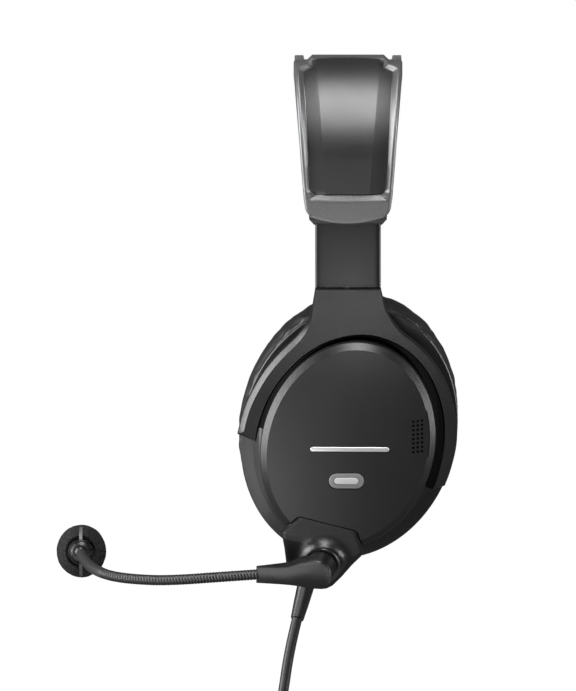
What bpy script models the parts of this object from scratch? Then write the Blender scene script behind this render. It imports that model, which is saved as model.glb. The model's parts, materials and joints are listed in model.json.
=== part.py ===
"""An over-ear aviation headset with a boom microphone, as separate solids.

Metres, +Z up. The wearer faces -X and the wearer's left cup is at -Y. The origin is the underside
of the crown cushion, where the headset rests on a head.

Each side is laid out in its own chain of frames: the arm swings on a pin at the crown, the slider
runs in the arm, the yoke swivels under the slider, and the cup tilts between the yoke's ends. In a
side's frames +X points to the rear and +Z up along the piece, and a distance outwards from the
head is multiplied by the side's sign (left -1, right +1) to give Y.
"""

import math

import bmesh
import bpy
from mathutils import Vector

# --- Clearances ----------------------------------------------------------------------------------
GAP = 0.0003  # between pieces that touch
RUNNING = 0.0003  # between a shaft and its bore, on the radius

# --- Crown ---------------------------------------------------------------------------------------
CUSHION_THICK = 0.0130
CUSHION_HALF_LENGTH = 0.0460
CUSHION_HALF_WIDTH = 0.0165
PIN_OUT = 0.0120  # from the mid plane to each arm's hinge pin
PIN_RADIUS = 0.0014
BARREL_RADIUS = 0.0038
BRIDGE_HALF_WIDTH = 0.0143
WINDOW = 0.0037  # between the bridge's barrel and the arm's knuckle, where the pin shows
SPRING_LENGTH = 0.0120
SPRING_WIRE = 0.0011

# --- Arms ----------------------------------------------------------------------------------------
ARM_THICK = 0.0086
ARM_TOP_HALF_WIDTH = 0.0219
ARM_TAPER = 0.078  # half width lost for each unit of drop
ARM_START = 0.0052  # from the pin's axis to the arm's plate
SHOULDER_OUT = 0.0464  # from the mid plane to the centre of the shoulder's bend
SHOULDER_RADIUS = 0.0340  # of the arm's mid line
SIDE_LEAN = math.radians(8.0)  # the arms come together going down
SIDE_LENGTH = 0.0252
EDGE = 0.0012  # chamfer along the arm's edges
INLAY_THICK = 0.0012
INLAY_NECK_HALF = 0.0144
INLAY_WIDE_HALF = 0.0180
INLAY_END_HALF = 0.0146
INLAY_NECK_TURN = math.radians(29.0)
INLAY_WIDE_TURN = math.radians(35.0)
INLAY_FOOT = 0.0112  # bare arm below the inlay
LINER_HALF = 0.0135
LINER_THICK = 0.0009

# --- Slider --------------------------------------------------------------------------------------
SLIDER_HALF_WIDTH = 0.0131
SLIDER_THICK = 0.0036
SLIDER_SHOWN = 0.0260
SLIDER_HELD = 0.0100
SLIDER_IN = 0.0180  # travel into the arm
POST_RADIUS = 0.0010
POST_HALF_LENGTH = 0.0090

# --- Yoke ----------------------------------------------------------------------------------------
PIVOT_DROP = 0.0705  # from the seam under the slider to the cup's pivot axis
PIVOT_X = -0.0006
CUP_LEAN = math.radians(14.4)  # the cup's top leans to the rear
YOKE_INNER_X = 0.0374
YOKE_INNER_Z = 0.0450
YOKE_OFFSET_X = -0.0005
YOKE_OFFSET_Z = 0.0074
YOKE_BAND = 0.0068
YOKE_INSIDE = -0.0030
YOKE_OUTSIDE = 0.0046
YOKE_END_DROP = 0.0040  # the fork's ends reach this far below the pivot
PIVOT_RADIUS = 0.0018

# --- Cup -----------------------------------------------------------------------------------------
CUP_TILT = math.radians(5.0)  # the cup's top leans out from the yoke
CUP_X = -0.0013
CUP_Z = 0.0080
COVER_X = 0.0346
COVER_Z = 0.0430
COVER_BACK = 0.0033
COVER_EDGE = 0.0066
COVER_FACE = 0.0086
COVER_CROWN = 0.0098
COVER_CHAMFER = 0.0026
DRUM_X = 0.0334
DRUM_Z = 0.0422
DRUM_WALL = 0.0022
FLANGE_X = 0.0431
FLANGE_Z = 0.0528
FLANGE_BACK = -0.0170
FLANGE_FACE = -0.0145
FLANGE_WALL = 0.0030
BAFFLE_THICK = 0.0020
DRIVER_RADIUS = 0.0195
DRIVER_DEPTH = 0.0080
BOARD_HALF_X = 0.0190
BOARD_HALF_Z = 0.0240
BOARD_THICK = 0.0016
PORT_HALF_X = 0.0071
PORT_RADIUS = 0.00315
PORT_DEPTH = 0.0012
PORT_Z = -0.0055
PORT_X = 0.0016
BAR_HALF_X = 0.0160
BAR_HALF_Z = 0.0011
BAR_DEPTH = 0.0006
BAR_Z = 0.0075
BAR_X = -0.0004

# --- Ear cushion ---------------------------------------------------------------------------------
PAD_X = 0.0446
PAD_Z = 0.0544
PAD_HOLE_X = 0.0240
PAD_HOLE_Z = 0.0335
PAD_DEPTH = 0.0205
SCREEN_THICK = 0.0008

# --- Module under the cup, boom and microphone ---------------------------------------------------
MODULE_TOP = -0.0248
MODULE_TOP_HALF = 0.0119
MODULE_SHOULDER = -0.0324
MODULE_SHOULDER_HALF = 0.0171
MODULE_FOOT = -0.0533
MODULE_BELOW = (  # below the shoulder: height, middle, half width, back and face
    (-0.0350, -0.0013, 0.0161, COVER_BACK + GAP, 0.0086),
    (-0.0355, -0.0013, 0.0158, -0.0062, 0.0084),
    (-0.0395, -0.0015, 0.0138, -0.0062, 0.0066),
    (-0.0455, -0.0017, 0.0114, -0.0062, 0.0052),
    (-0.0505, -0.0022, 0.0092, -0.0060, 0.0044),
    (MODULE_FOOT, -0.0026, 0.0068, -0.0048, 0.0034),
)
MODULE_FACE = 0.0094
HUB_X = 0.0008
HUB_Z = -0.0413
HUB_RADIUS = 0.0061
HUB_SEAT = 0.0022
HUB_FACE = 0.0116
HUB_TIP_DOWN = math.radians(12.5)
HUB_TURN_IN = math.radians(-7.5)
BOOM_LEVEL = math.radians(-16.3)  # turns the boom level, back from the cup's lean
AXLE_RADIUS = 0.0024
BOOM_REACH = 0.0262
BOOM_TIP_HALF = 0.0035
NECK_RADIUS = 0.00205
SLEEVE_RADIUS = 0.0023
MIC_TURN = (math.radians(-22.5), math.radians(4.0), math.radians(11.5))  # square to the mouth
MIC_RADIUS = 0.0048
MIC_START = 0.0022
MIC_DEPTH = 0.0072
CAPSULE_DEPTH = 0.0050
FOAM_OUT = 0.0122  # from the swivel to the foam ball's centre
FOAM_RADIUS = 0.0102
RELIEF_LENGTH = 0.0155
RELIEF_X = -0.0030
RELIEF_TOP_RADIUS = 0.0035
RELIEF_END_RADIUS = 0.0027

# --- Cord ----------------------------------------------------------------------------------------
CORD_RADIUS = 0.0021
COIL_RADIUS = 0.0250  # of the middle of its turns
COIL_HALF = 0.0064
COIL_CENTRE = Vector((-0.0290, -0.0465, -0.2910))
CONNECTOR_RADIUS = 0.0060
CONNECTOR_LENGTH = 0.0340
CONNECTOR_TOP = Vector((-0.0065, -0.0388, -0.3300))

LEFT = -1
RIGHT = 1
CUP_SIDES = 32
ROUND_SIDES = 16


# --- Helpers -------------------------------------------------------------------------------------
def new_material(name, colour, roughness, metallic=0.0):
    material = bpy.data.materials.new(name)
    material.use_nodes = True
    shader = material.node_tree.nodes["Principled BSDF"]
    shader.inputs["Base Color"].default_value = (*colour, 1.0)
    shader.inputs["Roughness"].default_value = roughness
    shader.inputs["Metallic"].default_value = metallic
    material.diffuse_color = (*colour, 1.0)
    return material


def new_empty(name, location, rotation=(0.0, 0.0, 0.0), parent=None, order="XYZ"):
    """A joint's frame: the pieces that move with the joint are its children."""
    empty = bpy.data.objects.new(name, None)
    bpy.context.scene.collection.objects.link(empty)
    empty.location = location
    empty.rotation_mode = order
    empty.rotation_euler = rotation
    empty.parent = parent
    empty.empty_display_size = 0.01
    return empty


def skin(name, rings, material, parent=None, closed=False):
    """One closed solid through rings of equal counts of points, capped at both ends unless closed."""
    mesh = bmesh.new()
    rows = [[mesh.verts.new(point) for point in ring] for ring in rings]
    pairs = list(zip(rows, rows[1:]))
    if closed:
        pairs.append((rows[-1], rows[0]))
    for lower, upper in pairs:
        for i in range(len(lower)):
            j = (i + 1) % len(lower)
            mesh.faces.new((lower[i], lower[j], upper[j], upper[i]))
    if not closed:
        mesh.faces.new(rows[0])
        mesh.faces.new(rows[-1])
    bmesh.ops.recalc_face_normals(mesh, faces=mesh.faces)
    data = bpy.data.meshes.new(name)
    mesh.to_mesh(data)
    mesh.free()
    data.shade_smooth()
    data.set_sharp_from_angle(angle=math.radians(35.0))
    data.materials.append(material)
    piece = bpy.data.objects.new(name, data)
    bpy.context.scene.collection.objects.link(piece)
    piece.parent = parent
    return piece


def boolean(target, tool, operation="DIFFERENCE"):
    """Cuts the tool out of the target, or joins it on, and keeps the tool out of the model."""
    tool.hide_render = True
    tool.display_type = "WIRE"
    modifier = target.modifiers.new(tool.name, "BOOLEAN")
    modifier.object = tool
    modifier.operation = operation
    modifier.solver = "EXACT"


def round_ring(centre, across, up, radius, count=ROUND_SIDES):
    """A circle of points about a centre, in the plane of two unit vectors."""
    ring = []
    for i in range(count):
        angle = 2.0 * math.pi * i / count
        ring.append(centre + radius * (math.cos(angle) * across + math.sin(angle) * up))
    return ring


def rod(name, start, end, radii, material, parent=None, count=ROUND_SIDES):
    """A round solid from start to end. radii gives (share of the length, radius) along it."""
    start = Vector(start)
    end = Vector(end)
    along = (end - start).normalized()
    across = along.orthogonal().normalized()
    up = along.cross(across)
    rings = [round_ring(start.lerp(end, share), across, up, radius, count) for share, radius in radii]
    return skin(name, rings, material, parent)


def plain_rod(name, start, end, radius, material, parent=None, count=ROUND_SIDES):
    return rod(name, start, end, ((0.0, radius), (1.0, radius)), material, parent, count)


def between(knots, value):
    """The straight-line value at a place in a list of (place, value) pairs."""
    for (low, first), (high, second) in zip(knots, knots[1:]):
        if value <= high:
            share = max(0.0, (value - low) / (high - low))
            return first + share * (second - first)
    return knots[-1][1]


def chamfered(low, high, bottom, top, edge):
    """The eight corners of a rectangle with its corners cut off."""
    return (
        (low + edge, bottom),
        (high - edge, bottom),
        (high, bottom + edge),
        (high, top - edge),
        (high - edge, top),
        (low + edge, top),
        (low, top - edge),
        (low, bottom + edge),
    )


# --- Materials -----------------------------------------------------------------------------------
CAST = None
PLASTIC = None
SATIN = None
LEATHER = None
STEEL = None
FOAM = None
RUBBER = None
SILVER = None
GREY = None
BOARD = None
CLOTH = None


def make_materials():
    global CAST, PLASTIC, SATIN, LEATHER, STEEL, FOAM, RUBBER, SILVER, GREY, BOARD, CLOTH
    CAST = new_material("cast_grey", (0.16, 0.16, 0.165), 0.45, 0.6)
    PLASTIC = new_material("black_plastic", (0.018, 0.018, 0.019), 0.42)
    SATIN = new_material("satin_inlay", (0.03, 0.03, 0.032), 0.3)
    LEATHER = new_material("black_leather", (0.012, 0.012, 0.012), 0.55)
    STEEL = new_material("steel", (0.55, 0.55, 0.56), 0.3, 1.0)
    FOAM = new_material("black_foam", (0.01, 0.01, 0.01), 0.95)
    RUBBER = new_material("black_rubber", (0.02, 0.02, 0.02), 0.6)
    SILVER = new_material("silver_trim", (0.6, 0.6, 0.6), 0.35, 0.8)
    GREY = new_material("grey_insert", (0.3, 0.3, 0.3), 0.5)
    BOARD = new_material("circuit_board", (0.02, 0.12, 0.05), 0.5)
    CLOTH = new_material("black_cloth", (0.015, 0.015, 0.015), 0.9)


# --- Crown ---------------------------------------------------------------------------------------
ARM_Z = CUSHION_THICK + GAP + 0.0005 + ARM_THICK / 2.0  # height of the arms' flat mid line
PIN_Z = ARM_Z - 0.0002
KNUCKLE_INNER = BRIDGE_HALF_WIDTH + WINDOW
BORE_RADIUS = PIN_RADIUS + RUNNING


def make_crown():
    make_bridge()
    make_crown_cushion()
    for side, word in ((LEFT, "left"), (RIGHT, "right")):
        centre = Vector((0.0, side * PIN_OUT, PIN_Z))
        reach = Vector((ARM_TOP_HALF_WIDTH - 0.0010, 0.0, 0.0))
        plain_rod(f"crown_pin_{word}", centre - reach, centre + reach, PIN_RADIUS, STEEL)
        make_crown_spring(f"crown_spring_{word}", centre)


def make_bridge():
    """The block between the two hinges, a barrel at each side with a slot for the spring."""
    bottom = CUSHION_THICK + GAP
    rings = []
    for x in (-BRIDGE_HALF_WIDTH, BRIDGE_HALF_WIDTH):
        rings.append([Vector((x, y, z)) for y, z in bridge_outline(bottom)])
    bridge = skin("crown_bridge", rings, CAST)
    for side, word in ((LEFT, "left"), (RIGHT, "right")):
        centre = Vector((0.0, side * PIN_OUT, PIN_Z))
        reach = Vector((BRIDGE_HALF_WIDTH + 0.001, 0.0, 0.0))
        half = Vector((SPRING_LENGTH / 2.0 + GAP, 0.0, 0.0))
        bore = plain_rod(f"bridge_bore_{word}", centre - reach, centre + reach, BORE_RADIUS, STEEL)
        seat_radius = BORE_RADIUS + SPRING_WIRE + GAP
        seat = plain_rod(f"spring_seat_{word}", centre - half, centre + half, seat_radius, STEEL)
        boolean(bridge, bore)
        boolean(bridge, seat)


def bridge_outline(bottom):
    """The bridge seen from the front: flat below, a half round at each hinge, flat on top."""
    outline = []
    for side in (RIGHT, LEFT):
        steps = range(7) if side == RIGHT else range(6, -1, -1)
        for step in steps:
            angle = math.radians(-60.0 + 25.0 * step)
            y = side * (PIN_OUT + BARREL_RADIUS * math.cos(angle))
            outline.append((y, max(bottom, PIN_Z + BARREL_RADIUS * math.sin(angle))))
    return outline


def make_crown_spring(name, centre):
    """The torsion spring round a hinge pin, as the sleeve that its turns fill."""
    inner = PIN_RADIUS + GAP / 2.0
    outer = inner + SPRING_WIRE
    across = Vector((0.0, 1.0, 0.0))
    up = Vector((0.0, 0.0, 1.0))
    half = Vector((SPRING_LENGTH / 2.0, 0.0, 0.0))
    rings = []
    for place, radius in ((-half, inner), (half, inner), (half, outer), (-half, outer)):
        rings.append(round_ring(centre + place, across, up, radius, 12))
    skin(name, rings, STEEL, closed=True)


def make_crown_cushion():
    """The pad under the crown: flat below, thinner towards its two ends."""
    rings = []
    knots = ((-1.0, 0.45), (-0.93, 0.8), (-0.6, 1.0), (0.6, 1.0), (0.93, 0.8), (1.0, 0.45))
    for share, fullness in knots:
        half = CUSHION_HALF_WIDTH * (0.6 + 0.4 * fullness)
        low = CUSHION_THICK * 0.35 * (1.0 - fullness)
        top = CUSHION_THICK - CUSHION_THICK * 0.25 * (1.0 - fullness)
        edge = min(0.003, (top - low) * 0.4)
        section = chamfered(-half, half, low, top, edge)
        rings.append([Vector((x, share * CUSHION_HALF_LENGTH, z)) for x, z in section])
    skin("crown_cushion", rings, LEATHER)


# --- Arms ----------------------------------------------------------------------------------------
FLAT_LENGTH = SHOULDER_OUT - PIN_OUT
SIDE_TURN = math.pi / 2.0 + SIDE_LEAN
TURN_LENGTH = SHOULDER_RADIUS * SIDE_TURN
ARM_LENGTH = FLAT_LENGTH + TURN_LENGTH + SIDE_LENGTH
ARM_HALF = ARM_THICK / 2.0


def arm_place(distance, offset):
    """The outward and upward place of a point along the arm's mid line, offset away from the head."""
    turn = min(max((distance - FLAT_LENGTH) / SHOULDER_RADIUS, 0.0), SIDE_TURN)
    straight = min(distance, FLAT_LENGTH) - FLAT_LENGTH
    after = max(distance - FLAT_LENGTH - TURN_LENGTH, 0.0)
    reach = SHOULDER_RADIUS + offset
    out = SHOULDER_OUT + straight + reach * math.sin(turn) + after * math.cos(turn)
    up = ARM_Z - SHOULDER_RADIUS + reach * math.cos(turn) - after * math.sin(turn)
    return out, up


def arm_half_width(distance):
    drop = ARM_Z - arm_place(distance, 0.0)[1]
    return ARM_TOP_HALF_WIDTH - ARM_TAPER * drop


def arm_plate(name, side, stations, half_width, low, high, material, parent, edge=0.0):
    """A plate that follows the arm's bend, between two offsets from its mid line."""
    rings = []
    for distance in stations:
        half = half_width(distance)
        corners = ((-half, low), (half, low), (half, high), (-half, high))
        section = chamfered(-half, half, low, high, edge) if edge else corners
        ring = []
        for x, offset in section:
            out, up = arm_place(distance, offset)
            ring.append(Vector((x, side * (out - PIN_OUT), up - PIN_Z)))
        rings.append(ring)
    return skin(name, rings, material, parent)


def stations(start, end, steps=8):
    """Places along the arm from start to end, close together round the shoulder."""
    places = [start]
    for i in range(steps + 1):
        place = FLAT_LENGTH + TURN_LENGTH * i / steps
        if start + 0.002 < place < end - 0.002:
            places.append(place)
    places.append(end)
    return places


INLAY_KNOTS = (
    (0.0, INLAY_NECK_HALF),
    (FLAT_LENGTH + SHOULDER_RADIUS * INLAY_NECK_TURN, INLAY_NECK_HALF),
    (FLAT_LENGTH + SHOULDER_RADIUS * INLAY_WIDE_TURN, INLAY_WIDE_HALF),
    (ARM_LENGTH - INLAY_FOOT, INLAY_END_HALF),
)


def inlay_stations(start, end):
    places = stations(start, end) + [knot[0] for knot in INLAY_KNOTS[1:3]]
    return sorted(places)


def make_arm(side, word, hinge, runner):
    arm = arm_plate(
        f"{word}_arm_frame", side, stations(ARM_START, ARM_LENGTH, 11), arm_half_width,
        -ARM_HALF, ARM_HALF, CAST, hinge, EDGE,
    )
    for end, sign in (("front", -1.0), ("rear", 1.0)):
        boolean(arm, make_knuckle(f"{word}_knuckle_{end}", side, sign, hinge), "UNION")
    reach = Vector((ARM_TOP_HALF_WIDTH + 0.001, 0.0, 0.0))
    boolean(arm, plain_rod(f"{word}_arm_bore", -reach, reach, BORE_RADIUS, STEEL, hinge))
    inlay_end = ARM_LENGTH - INLAY_FOOT
    recess = arm_plate(
        f"{word}_inlay_recess", side, inlay_stations(ARM_START + 0.0030, inlay_end + GAP),
        lambda place: between(INLAY_KNOTS, place) + GAP,
        ARM_HALF - INLAY_THICK - GAP, ARM_HALF + 0.002, CAST, hinge,
    )
    boolean(arm, recess)
    arm_plate(
        f"{word}_arm_inlay", side, inlay_stations(ARM_START + 0.0030 + GAP, inlay_end),
        lambda place: between(INLAY_KNOTS, place),
        ARM_HALF - INLAY_THICK, ARM_HALF - 0.0001, SATIN, hinge,
    )
    liner_start = FLAT_LENGTH * 0.5
    liner_end = ARM_LENGTH - 0.0040
    liner_recess = arm_plate(
        f"{word}_liner_recess", side, stations(liner_start, liner_end),
        lambda place: LINER_HALF, -ARM_HALF - 0.002, -ARM_HALF + LINER_THICK, CAST, hinge,
    )
    boolean(arm, liner_recess)
    arm_plate(
        f"{word}_arm_liner", side, stations(liner_start + GAP, liner_end - GAP),
        lambda place: LINER_HALF - GAP, -ARM_HALF, -ARM_HALF + LINER_THICK - GAP, PLASTIC, hinge,
    )
    depth = SLIDER_HELD + SLIDER_IN + 0.0015
    wide = SLIDER_HALF_WIDTH + GAP
    deep = SLIDER_THICK / 2.0 + GAP
    boolean(arm, block(f"{word}_slider_channel", side, wide, deep, -0.002, depth, CAST, runner))


def make_knuckle(name, side, sign, hinge):
    """One of the arm's two eyes round the hinge pin, and the web that carries it."""
    rings = []
    inner = sign * KNUCKLE_INNER
    outer = sign * (ARM_TOP_HALF_WIDTH - EDGE / 3.0)
    reach = ARM_START + 0.0021
    for x in (inner, outer):
        ring = []
        for step in range(9):
            angle = math.radians(90.0 + 22.5 * step)
            ring.append((x, BARREL_RADIUS * math.cos(angle), BARREL_RADIUS * math.sin(angle)))
        ring.append((x, reach, -BARREL_RADIUS))
        ring.append((x, reach, BARREL_RADIUS))
        rings.append([Vector((a, side * b, c)) for a, b, c in ring])
    return skin(name, rings, CAST, hinge)


def block(name, side, half_x, half_y, low, high, material, parent):
    """A plain block about the parent's Z axis."""
    rings = []
    for z in (low, high):
        corners = ((-half_x, -half_y), (half_x, -half_y), (half_x, half_y), (-half_x, half_y))
        rings.append([Vector((x, side * y, z)) for x, y in corners])
    return skin(name, rings, material, parent)


# --- Slider and yoke -----------------------------------------------------------------------------
def make_slider(side, word, runner):
    """The band that runs in the arm. It ends at the seam above the yoke."""
    rings = []
    half = SLIDER_THICK / 2.0
    for z in (-SLIDER_SHOWN, SLIDER_HELD):
        section = chamfered(-SLIDER_HALF_WIDTH, SLIDER_HALF_WIDTH, -half, half, 0.0008)
        rings.append([Vector((x, side * y, z)) for x, y in section])
    slider = skin(f"{word}_slider_band", rings, PLASTIC, runner)
    low = Vector((0.0, 0.0, -SLIDER_SHOWN - POST_HALF_LENGTH + GAP))
    high = Vector((0.0, 0.0, -SLIDER_SHOWN + POST_HALF_LENGTH - GAP))
    below = Vector((0.0, 0.0, -SLIDER_SHOWN - 0.001))
    top = Vector((0.0, 0.0, -SLIDER_SHOWN + POST_HALF_LENGTH))
    bore = POST_RADIUS + RUNNING
    boolean(slider, plain_rod(f"{word}_slider_bore", below, top, bore, STEEL, runner, 12))
    plain_rod(f"{word}_swivel_post", low, high, POST_RADIUS, STEEL, runner, 12)


def leaned(x, out, z, side):
    """A point given along the leaning cup's axes from the pivot, in the yoke's frame."""
    across = math.cos(CUP_LEAN) * x + math.sin(CUP_LEAN) * z
    up = -math.sin(CUP_LEAN) * x + math.cos(CUP_LEAN) * z
    return Vector((PIVOT_X + across, side * out, up - PIVOT_DROP))


def fork_ring(angle, side):
    """The fork's section at an angle round the cup, from its inner to its outer edge."""
    ring = []
    for reach, out in chamfered(0.0, YOKE_BAND, YOKE_INSIDE, YOKE_OUTSIDE, 0.0012):
        x = YOKE_OFFSET_X + (YOKE_INNER_X + reach) * math.cos(angle)
        z = YOKE_OFFSET_Z + (YOKE_INNER_Z + reach) * math.sin(angle)
        ring.append(leaned(x, out, z, side))
    return ring


def make_yoke(side, word, swivel):
    """A neck under the slider that opens into a fork round the upper half of the cup."""
    start = -math.asin((YOKE_END_DROP + YOKE_OFFSET_Z) / YOKE_INNER_Z)
    end = math.pi - start
    steps = 26
    rings = [fork_ring(start + (end - start) * i / steps, side) for i in range(steps + 1)]
    yoke = skin(f"{word}_yoke", rings, PLASTIC, swivel)
    neck = make_neck(f"{word}_yoke_neck", side, swivel)
    boolean(neck, make_neck_cut(f"{word}_yoke_neck_cut", side, swivel))
    boolean(yoke, neck, "UNION")
    top = Vector((0.0, 0.0, 0.002))
    low = Vector((0.0, 0.0, -POST_HALF_LENGTH - GAP))
    bore = POST_RADIUS + RUNNING
    boolean(yoke, plain_rod(f"{word}_yoke_post_bore", low, top, bore, STEEL, swivel, 12))
    for end_word, sign in (("front", -1.0), ("rear", 1.0)):
        inside = leaned(sign * (YOKE_INNER_X - 0.006), 0.0, 0.0, side)
        blind = leaned(sign * (YOKE_INNER_X + YOKE_BAND - 0.0020), 0.0, 0.0, side)
        name = f"{word}_yoke_bore_{end_word}"
        boolean(yoke, plain_rod(name, inside, blind, PIVOT_RADIUS + RUNNING, STEEL, swivel, 12))
        start_point = leaned(sign * (DRUM_X - DRUM_WALL), 0.0, 0.0, side)
        end_point = leaned(sign * (YOKE_INNER_X + YOKE_BAND - 0.0024), 0.0, 0.0, side)
        name = f"{word}_pivot_pin_{end_word}"
        plain_rod(name, start_point, end_point, PIVOT_RADIUS, STEEL, swivel, 12)


NECK_KNOTS = (
    (-GAP, 0.0, SLIDER_HALF_WIDTH),
    (-0.0050, 0.0, SLIDER_HALF_WIDTH + 0.0010),
    (-0.0112, 0.0005, SLIDER_HALF_WIDTH + 0.0024),
    (-0.0150, 0.0008, SLIDER_HALF_WIDTH + 0.0042),
    (-0.0190, 0.0013, SLIDER_HALF_WIDTH + 0.0074),
    (-0.0270, 0.0022, SLIDER_HALF_WIDTH + 0.0158),
    (-0.0335, 0.0022, SLIDER_HALF_WIDTH + 0.0212),
)


def make_neck(name, side, swivel):
    """The neck's sections going down: height, middle and half width."""
    rings = []
    for z, middle, half in NECK_KNOTS:
        section = chamfered(middle - half, middle + half, YOKE_INSIDE, YOKE_OUTSIDE, 0.0012)
        rings.append([Vector((x, side * y, z)) for x, y in section])
    return skin(name, rings, PLASTIC, swivel)


def make_neck_cut(name, side, swivel):
    """What the neck leaves free for the cup: an oval a little wider than the fork's inner edge."""
    rings = []
    for out in (YOKE_INSIDE - 0.002, YOKE_OUTSIDE + 0.002):
        ring = []
        for i in range(CUP_SIDES * 2):
            angle = math.pi * i / CUP_SIDES
            x = YOKE_OFFSET_X + (YOKE_INNER_X + 0.0012) * math.cos(angle)
            z = YOKE_OFFSET_Z + (YOKE_INNER_Z + 0.0012) * math.sin(angle)
            ring.append(leaned(x, out, z, side))
        rings.append(ring)
    return skin(name, rings, PLASTIC, swivel)


# --- Cup -----------------------------------------------------------------------------------------
def oval(half_x, half_z, out, side, count=CUP_SIDES):
    """An ellipse of points about the cup's centre, at a place along its outward axis."""
    ring = []
    for i in range(count):
        angle = 2.0 * math.pi * i / count
        x = CUP_X + half_x * math.cos(angle)
        ring.append(Vector((x, side * out, CUP_Z + half_z * math.sin(angle))))
    return ring


def ovals(profile, side, count=CUP_SIDES):
    return [oval(half_x, half_z, out, side, count) for out, half_x, half_z in profile]


def make_housing(side, word, cup):
    """The cup's drum, open at both ends, which flares to the flange that carries the cushion."""
    inner_x = DRUM_X - DRUM_WALL
    inner_z = DRUM_Z - DRUM_WALL
    seat_x = FLANGE_X - FLANGE_WALL
    seat_z = FLANGE_Z - FLANGE_WALL
    profile = (
        (FLANGE_BACK, FLANGE_X, FLANGE_Z),
        (FLANGE_FACE, FLANGE_X, FLANGE_Z),
        (FLANGE_FACE + 0.0015, FLANGE_X - 0.0045, FLANGE_Z - 0.0048),
        (FLANGE_FACE + 0.0040, DRUM_X + 0.0004, DRUM_Z + 0.0002),
        (COVER_BACK - GAP, DRUM_X, DRUM_Z),
        (COVER_BACK - GAP, inner_x, inner_z),
        (FLANGE_FACE + 0.0035, inner_x, inner_z),
        (FLANGE_BACK + BAFFLE_THICK + GAP, seat_x, seat_z),
        (FLANGE_BACK, seat_x, seat_z),
    )
    housing = skin(f"{word}_cup_housing", ovals(profile, side), PLASTIC, cup, closed=True)
    for end, sign in (("front", -1.0), ("rear", 1.0)):
        start = Vector((sign * (DRUM_X - 0.006), 0.0, 0.0))
        finish = Vector((sign * (DRUM_X + 0.004), 0.0, 0.0))
        bore = PIVOT_RADIUS + RUNNING
        boolean(housing, plain_rod(f"{word}_housing_bore_{end}", start, finish, bore, STEEL, cup, 12))


def make_cover(side, word, cup):
    """The cup's outer cover: a shallow shell with a chamfered rim, notched below for the module."""
    profile = (
        (COVER_FACE - 0.0022, COVER_X - 0.0075, COVER_Z - 0.0075),
        (COVER_BACK, COVER_X - 0.0036, COVER_Z - 0.0036),
        (COVER_BACK, COVER_X, COVER_Z),
        (COVER_EDGE, COVER_X, COVER_Z),
        (COVER_FACE, COVER_X - COVER_CHAMFER, COVER_Z - COVER_CHAMFER),
        (COVER_CROWN - 0.0003, COVER_X * 0.55, COVER_Z * 0.55),
        (COVER_CROWN, COVER_X * 0.25, COVER_Z * 0.25),
    )
    cover = skin(f"{word}_cup_cover", ovals(profile, side), PLASTIC, cup)
    notch = []
    for out in (COVER_BACK - 0.001, COVER_CROWN + 0.003):
        top = MODULE_TOP + GAP
        shoulder = MODULE_SHOULDER_HALF + GAP
        bottom = CUP_Z - COVER_Z - 0.003
        corners = ((-MODULE_TOP_HALF, top), (MODULE_TOP_HALF, top), (shoulder, MODULE_SHOULDER),
                   (shoulder, bottom), (-shoulder, bottom), (-shoulder, MODULE_SHOULDER))
        notch.append([Vector((CUP_X + x, side * out, z)) for x, z in corners])
    boolean(cover, skin(f"{word}_cover_notch", notch, PLASTIC, cup))
    seat_depth = COVER_CROWN - PORT_DEPTH - GAP
    port_seat = slot_plate(
        f"{word}_port_seat", side, PORT_X, PORT_Z, PORT_HALF_X + GAP, PORT_RADIUS + GAP,
        seat_depth, COVER_CROWN + 0.002, PLASTIC, cup,
    )
    boolean(cover, port_seat)
    slot_plate(
        f"{word}_port_insert", side, PORT_X, PORT_Z, PORT_HALF_X, PORT_RADIUS,
        seat_depth + GAP, COVER_CROWN - 0.0001, GREY, cup,
    )
    bar_floor = COVER_CROWN - BAR_DEPTH - GAP
    bar_seat = slot_plate(
        f"{word}_bar_seat", side, BAR_X, BAR_Z, BAR_HALF_X + GAP, BAR_HALF_Z + GAP,
        bar_floor, COVER_CROWN + 0.002, PLASTIC, cup,
    )
    boolean(cover, bar_seat)
    slot_plate(
        f"{word}_trim_bar", side, BAR_X, BAR_Z, BAR_HALF_X, BAR_HALF_Z,
        bar_floor + GAP, COVER_CROWN + 0.0001, SILVER, cup,
    )


def slot_plate(name, side, x, z, half, radius, low, high, material, parent):
    """A flat piece with round ends, level across the wearer's view and not along the leaning cup."""
    rings = []
    for out in (low, high):
        ring = []
        for end in (1.0, -1.0):
            for step in range(7):
                angle = math.radians(-90.0 + 30.0 * step)
                across = end * (half - radius + radius * math.cos(angle))
                up = end * radius * math.sin(angle)
                place_x = math.cos(CUP_LEAN) * across - math.sin(CUP_LEAN) * up
                place_z = math.sin(CUP_LEAN) * across + math.cos(CUP_LEAN) * up
                ring.append(Vector((x + place_x, side * out, z + place_z)))
        rings.append(ring)
    return skin(name, rings, material, parent)


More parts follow.
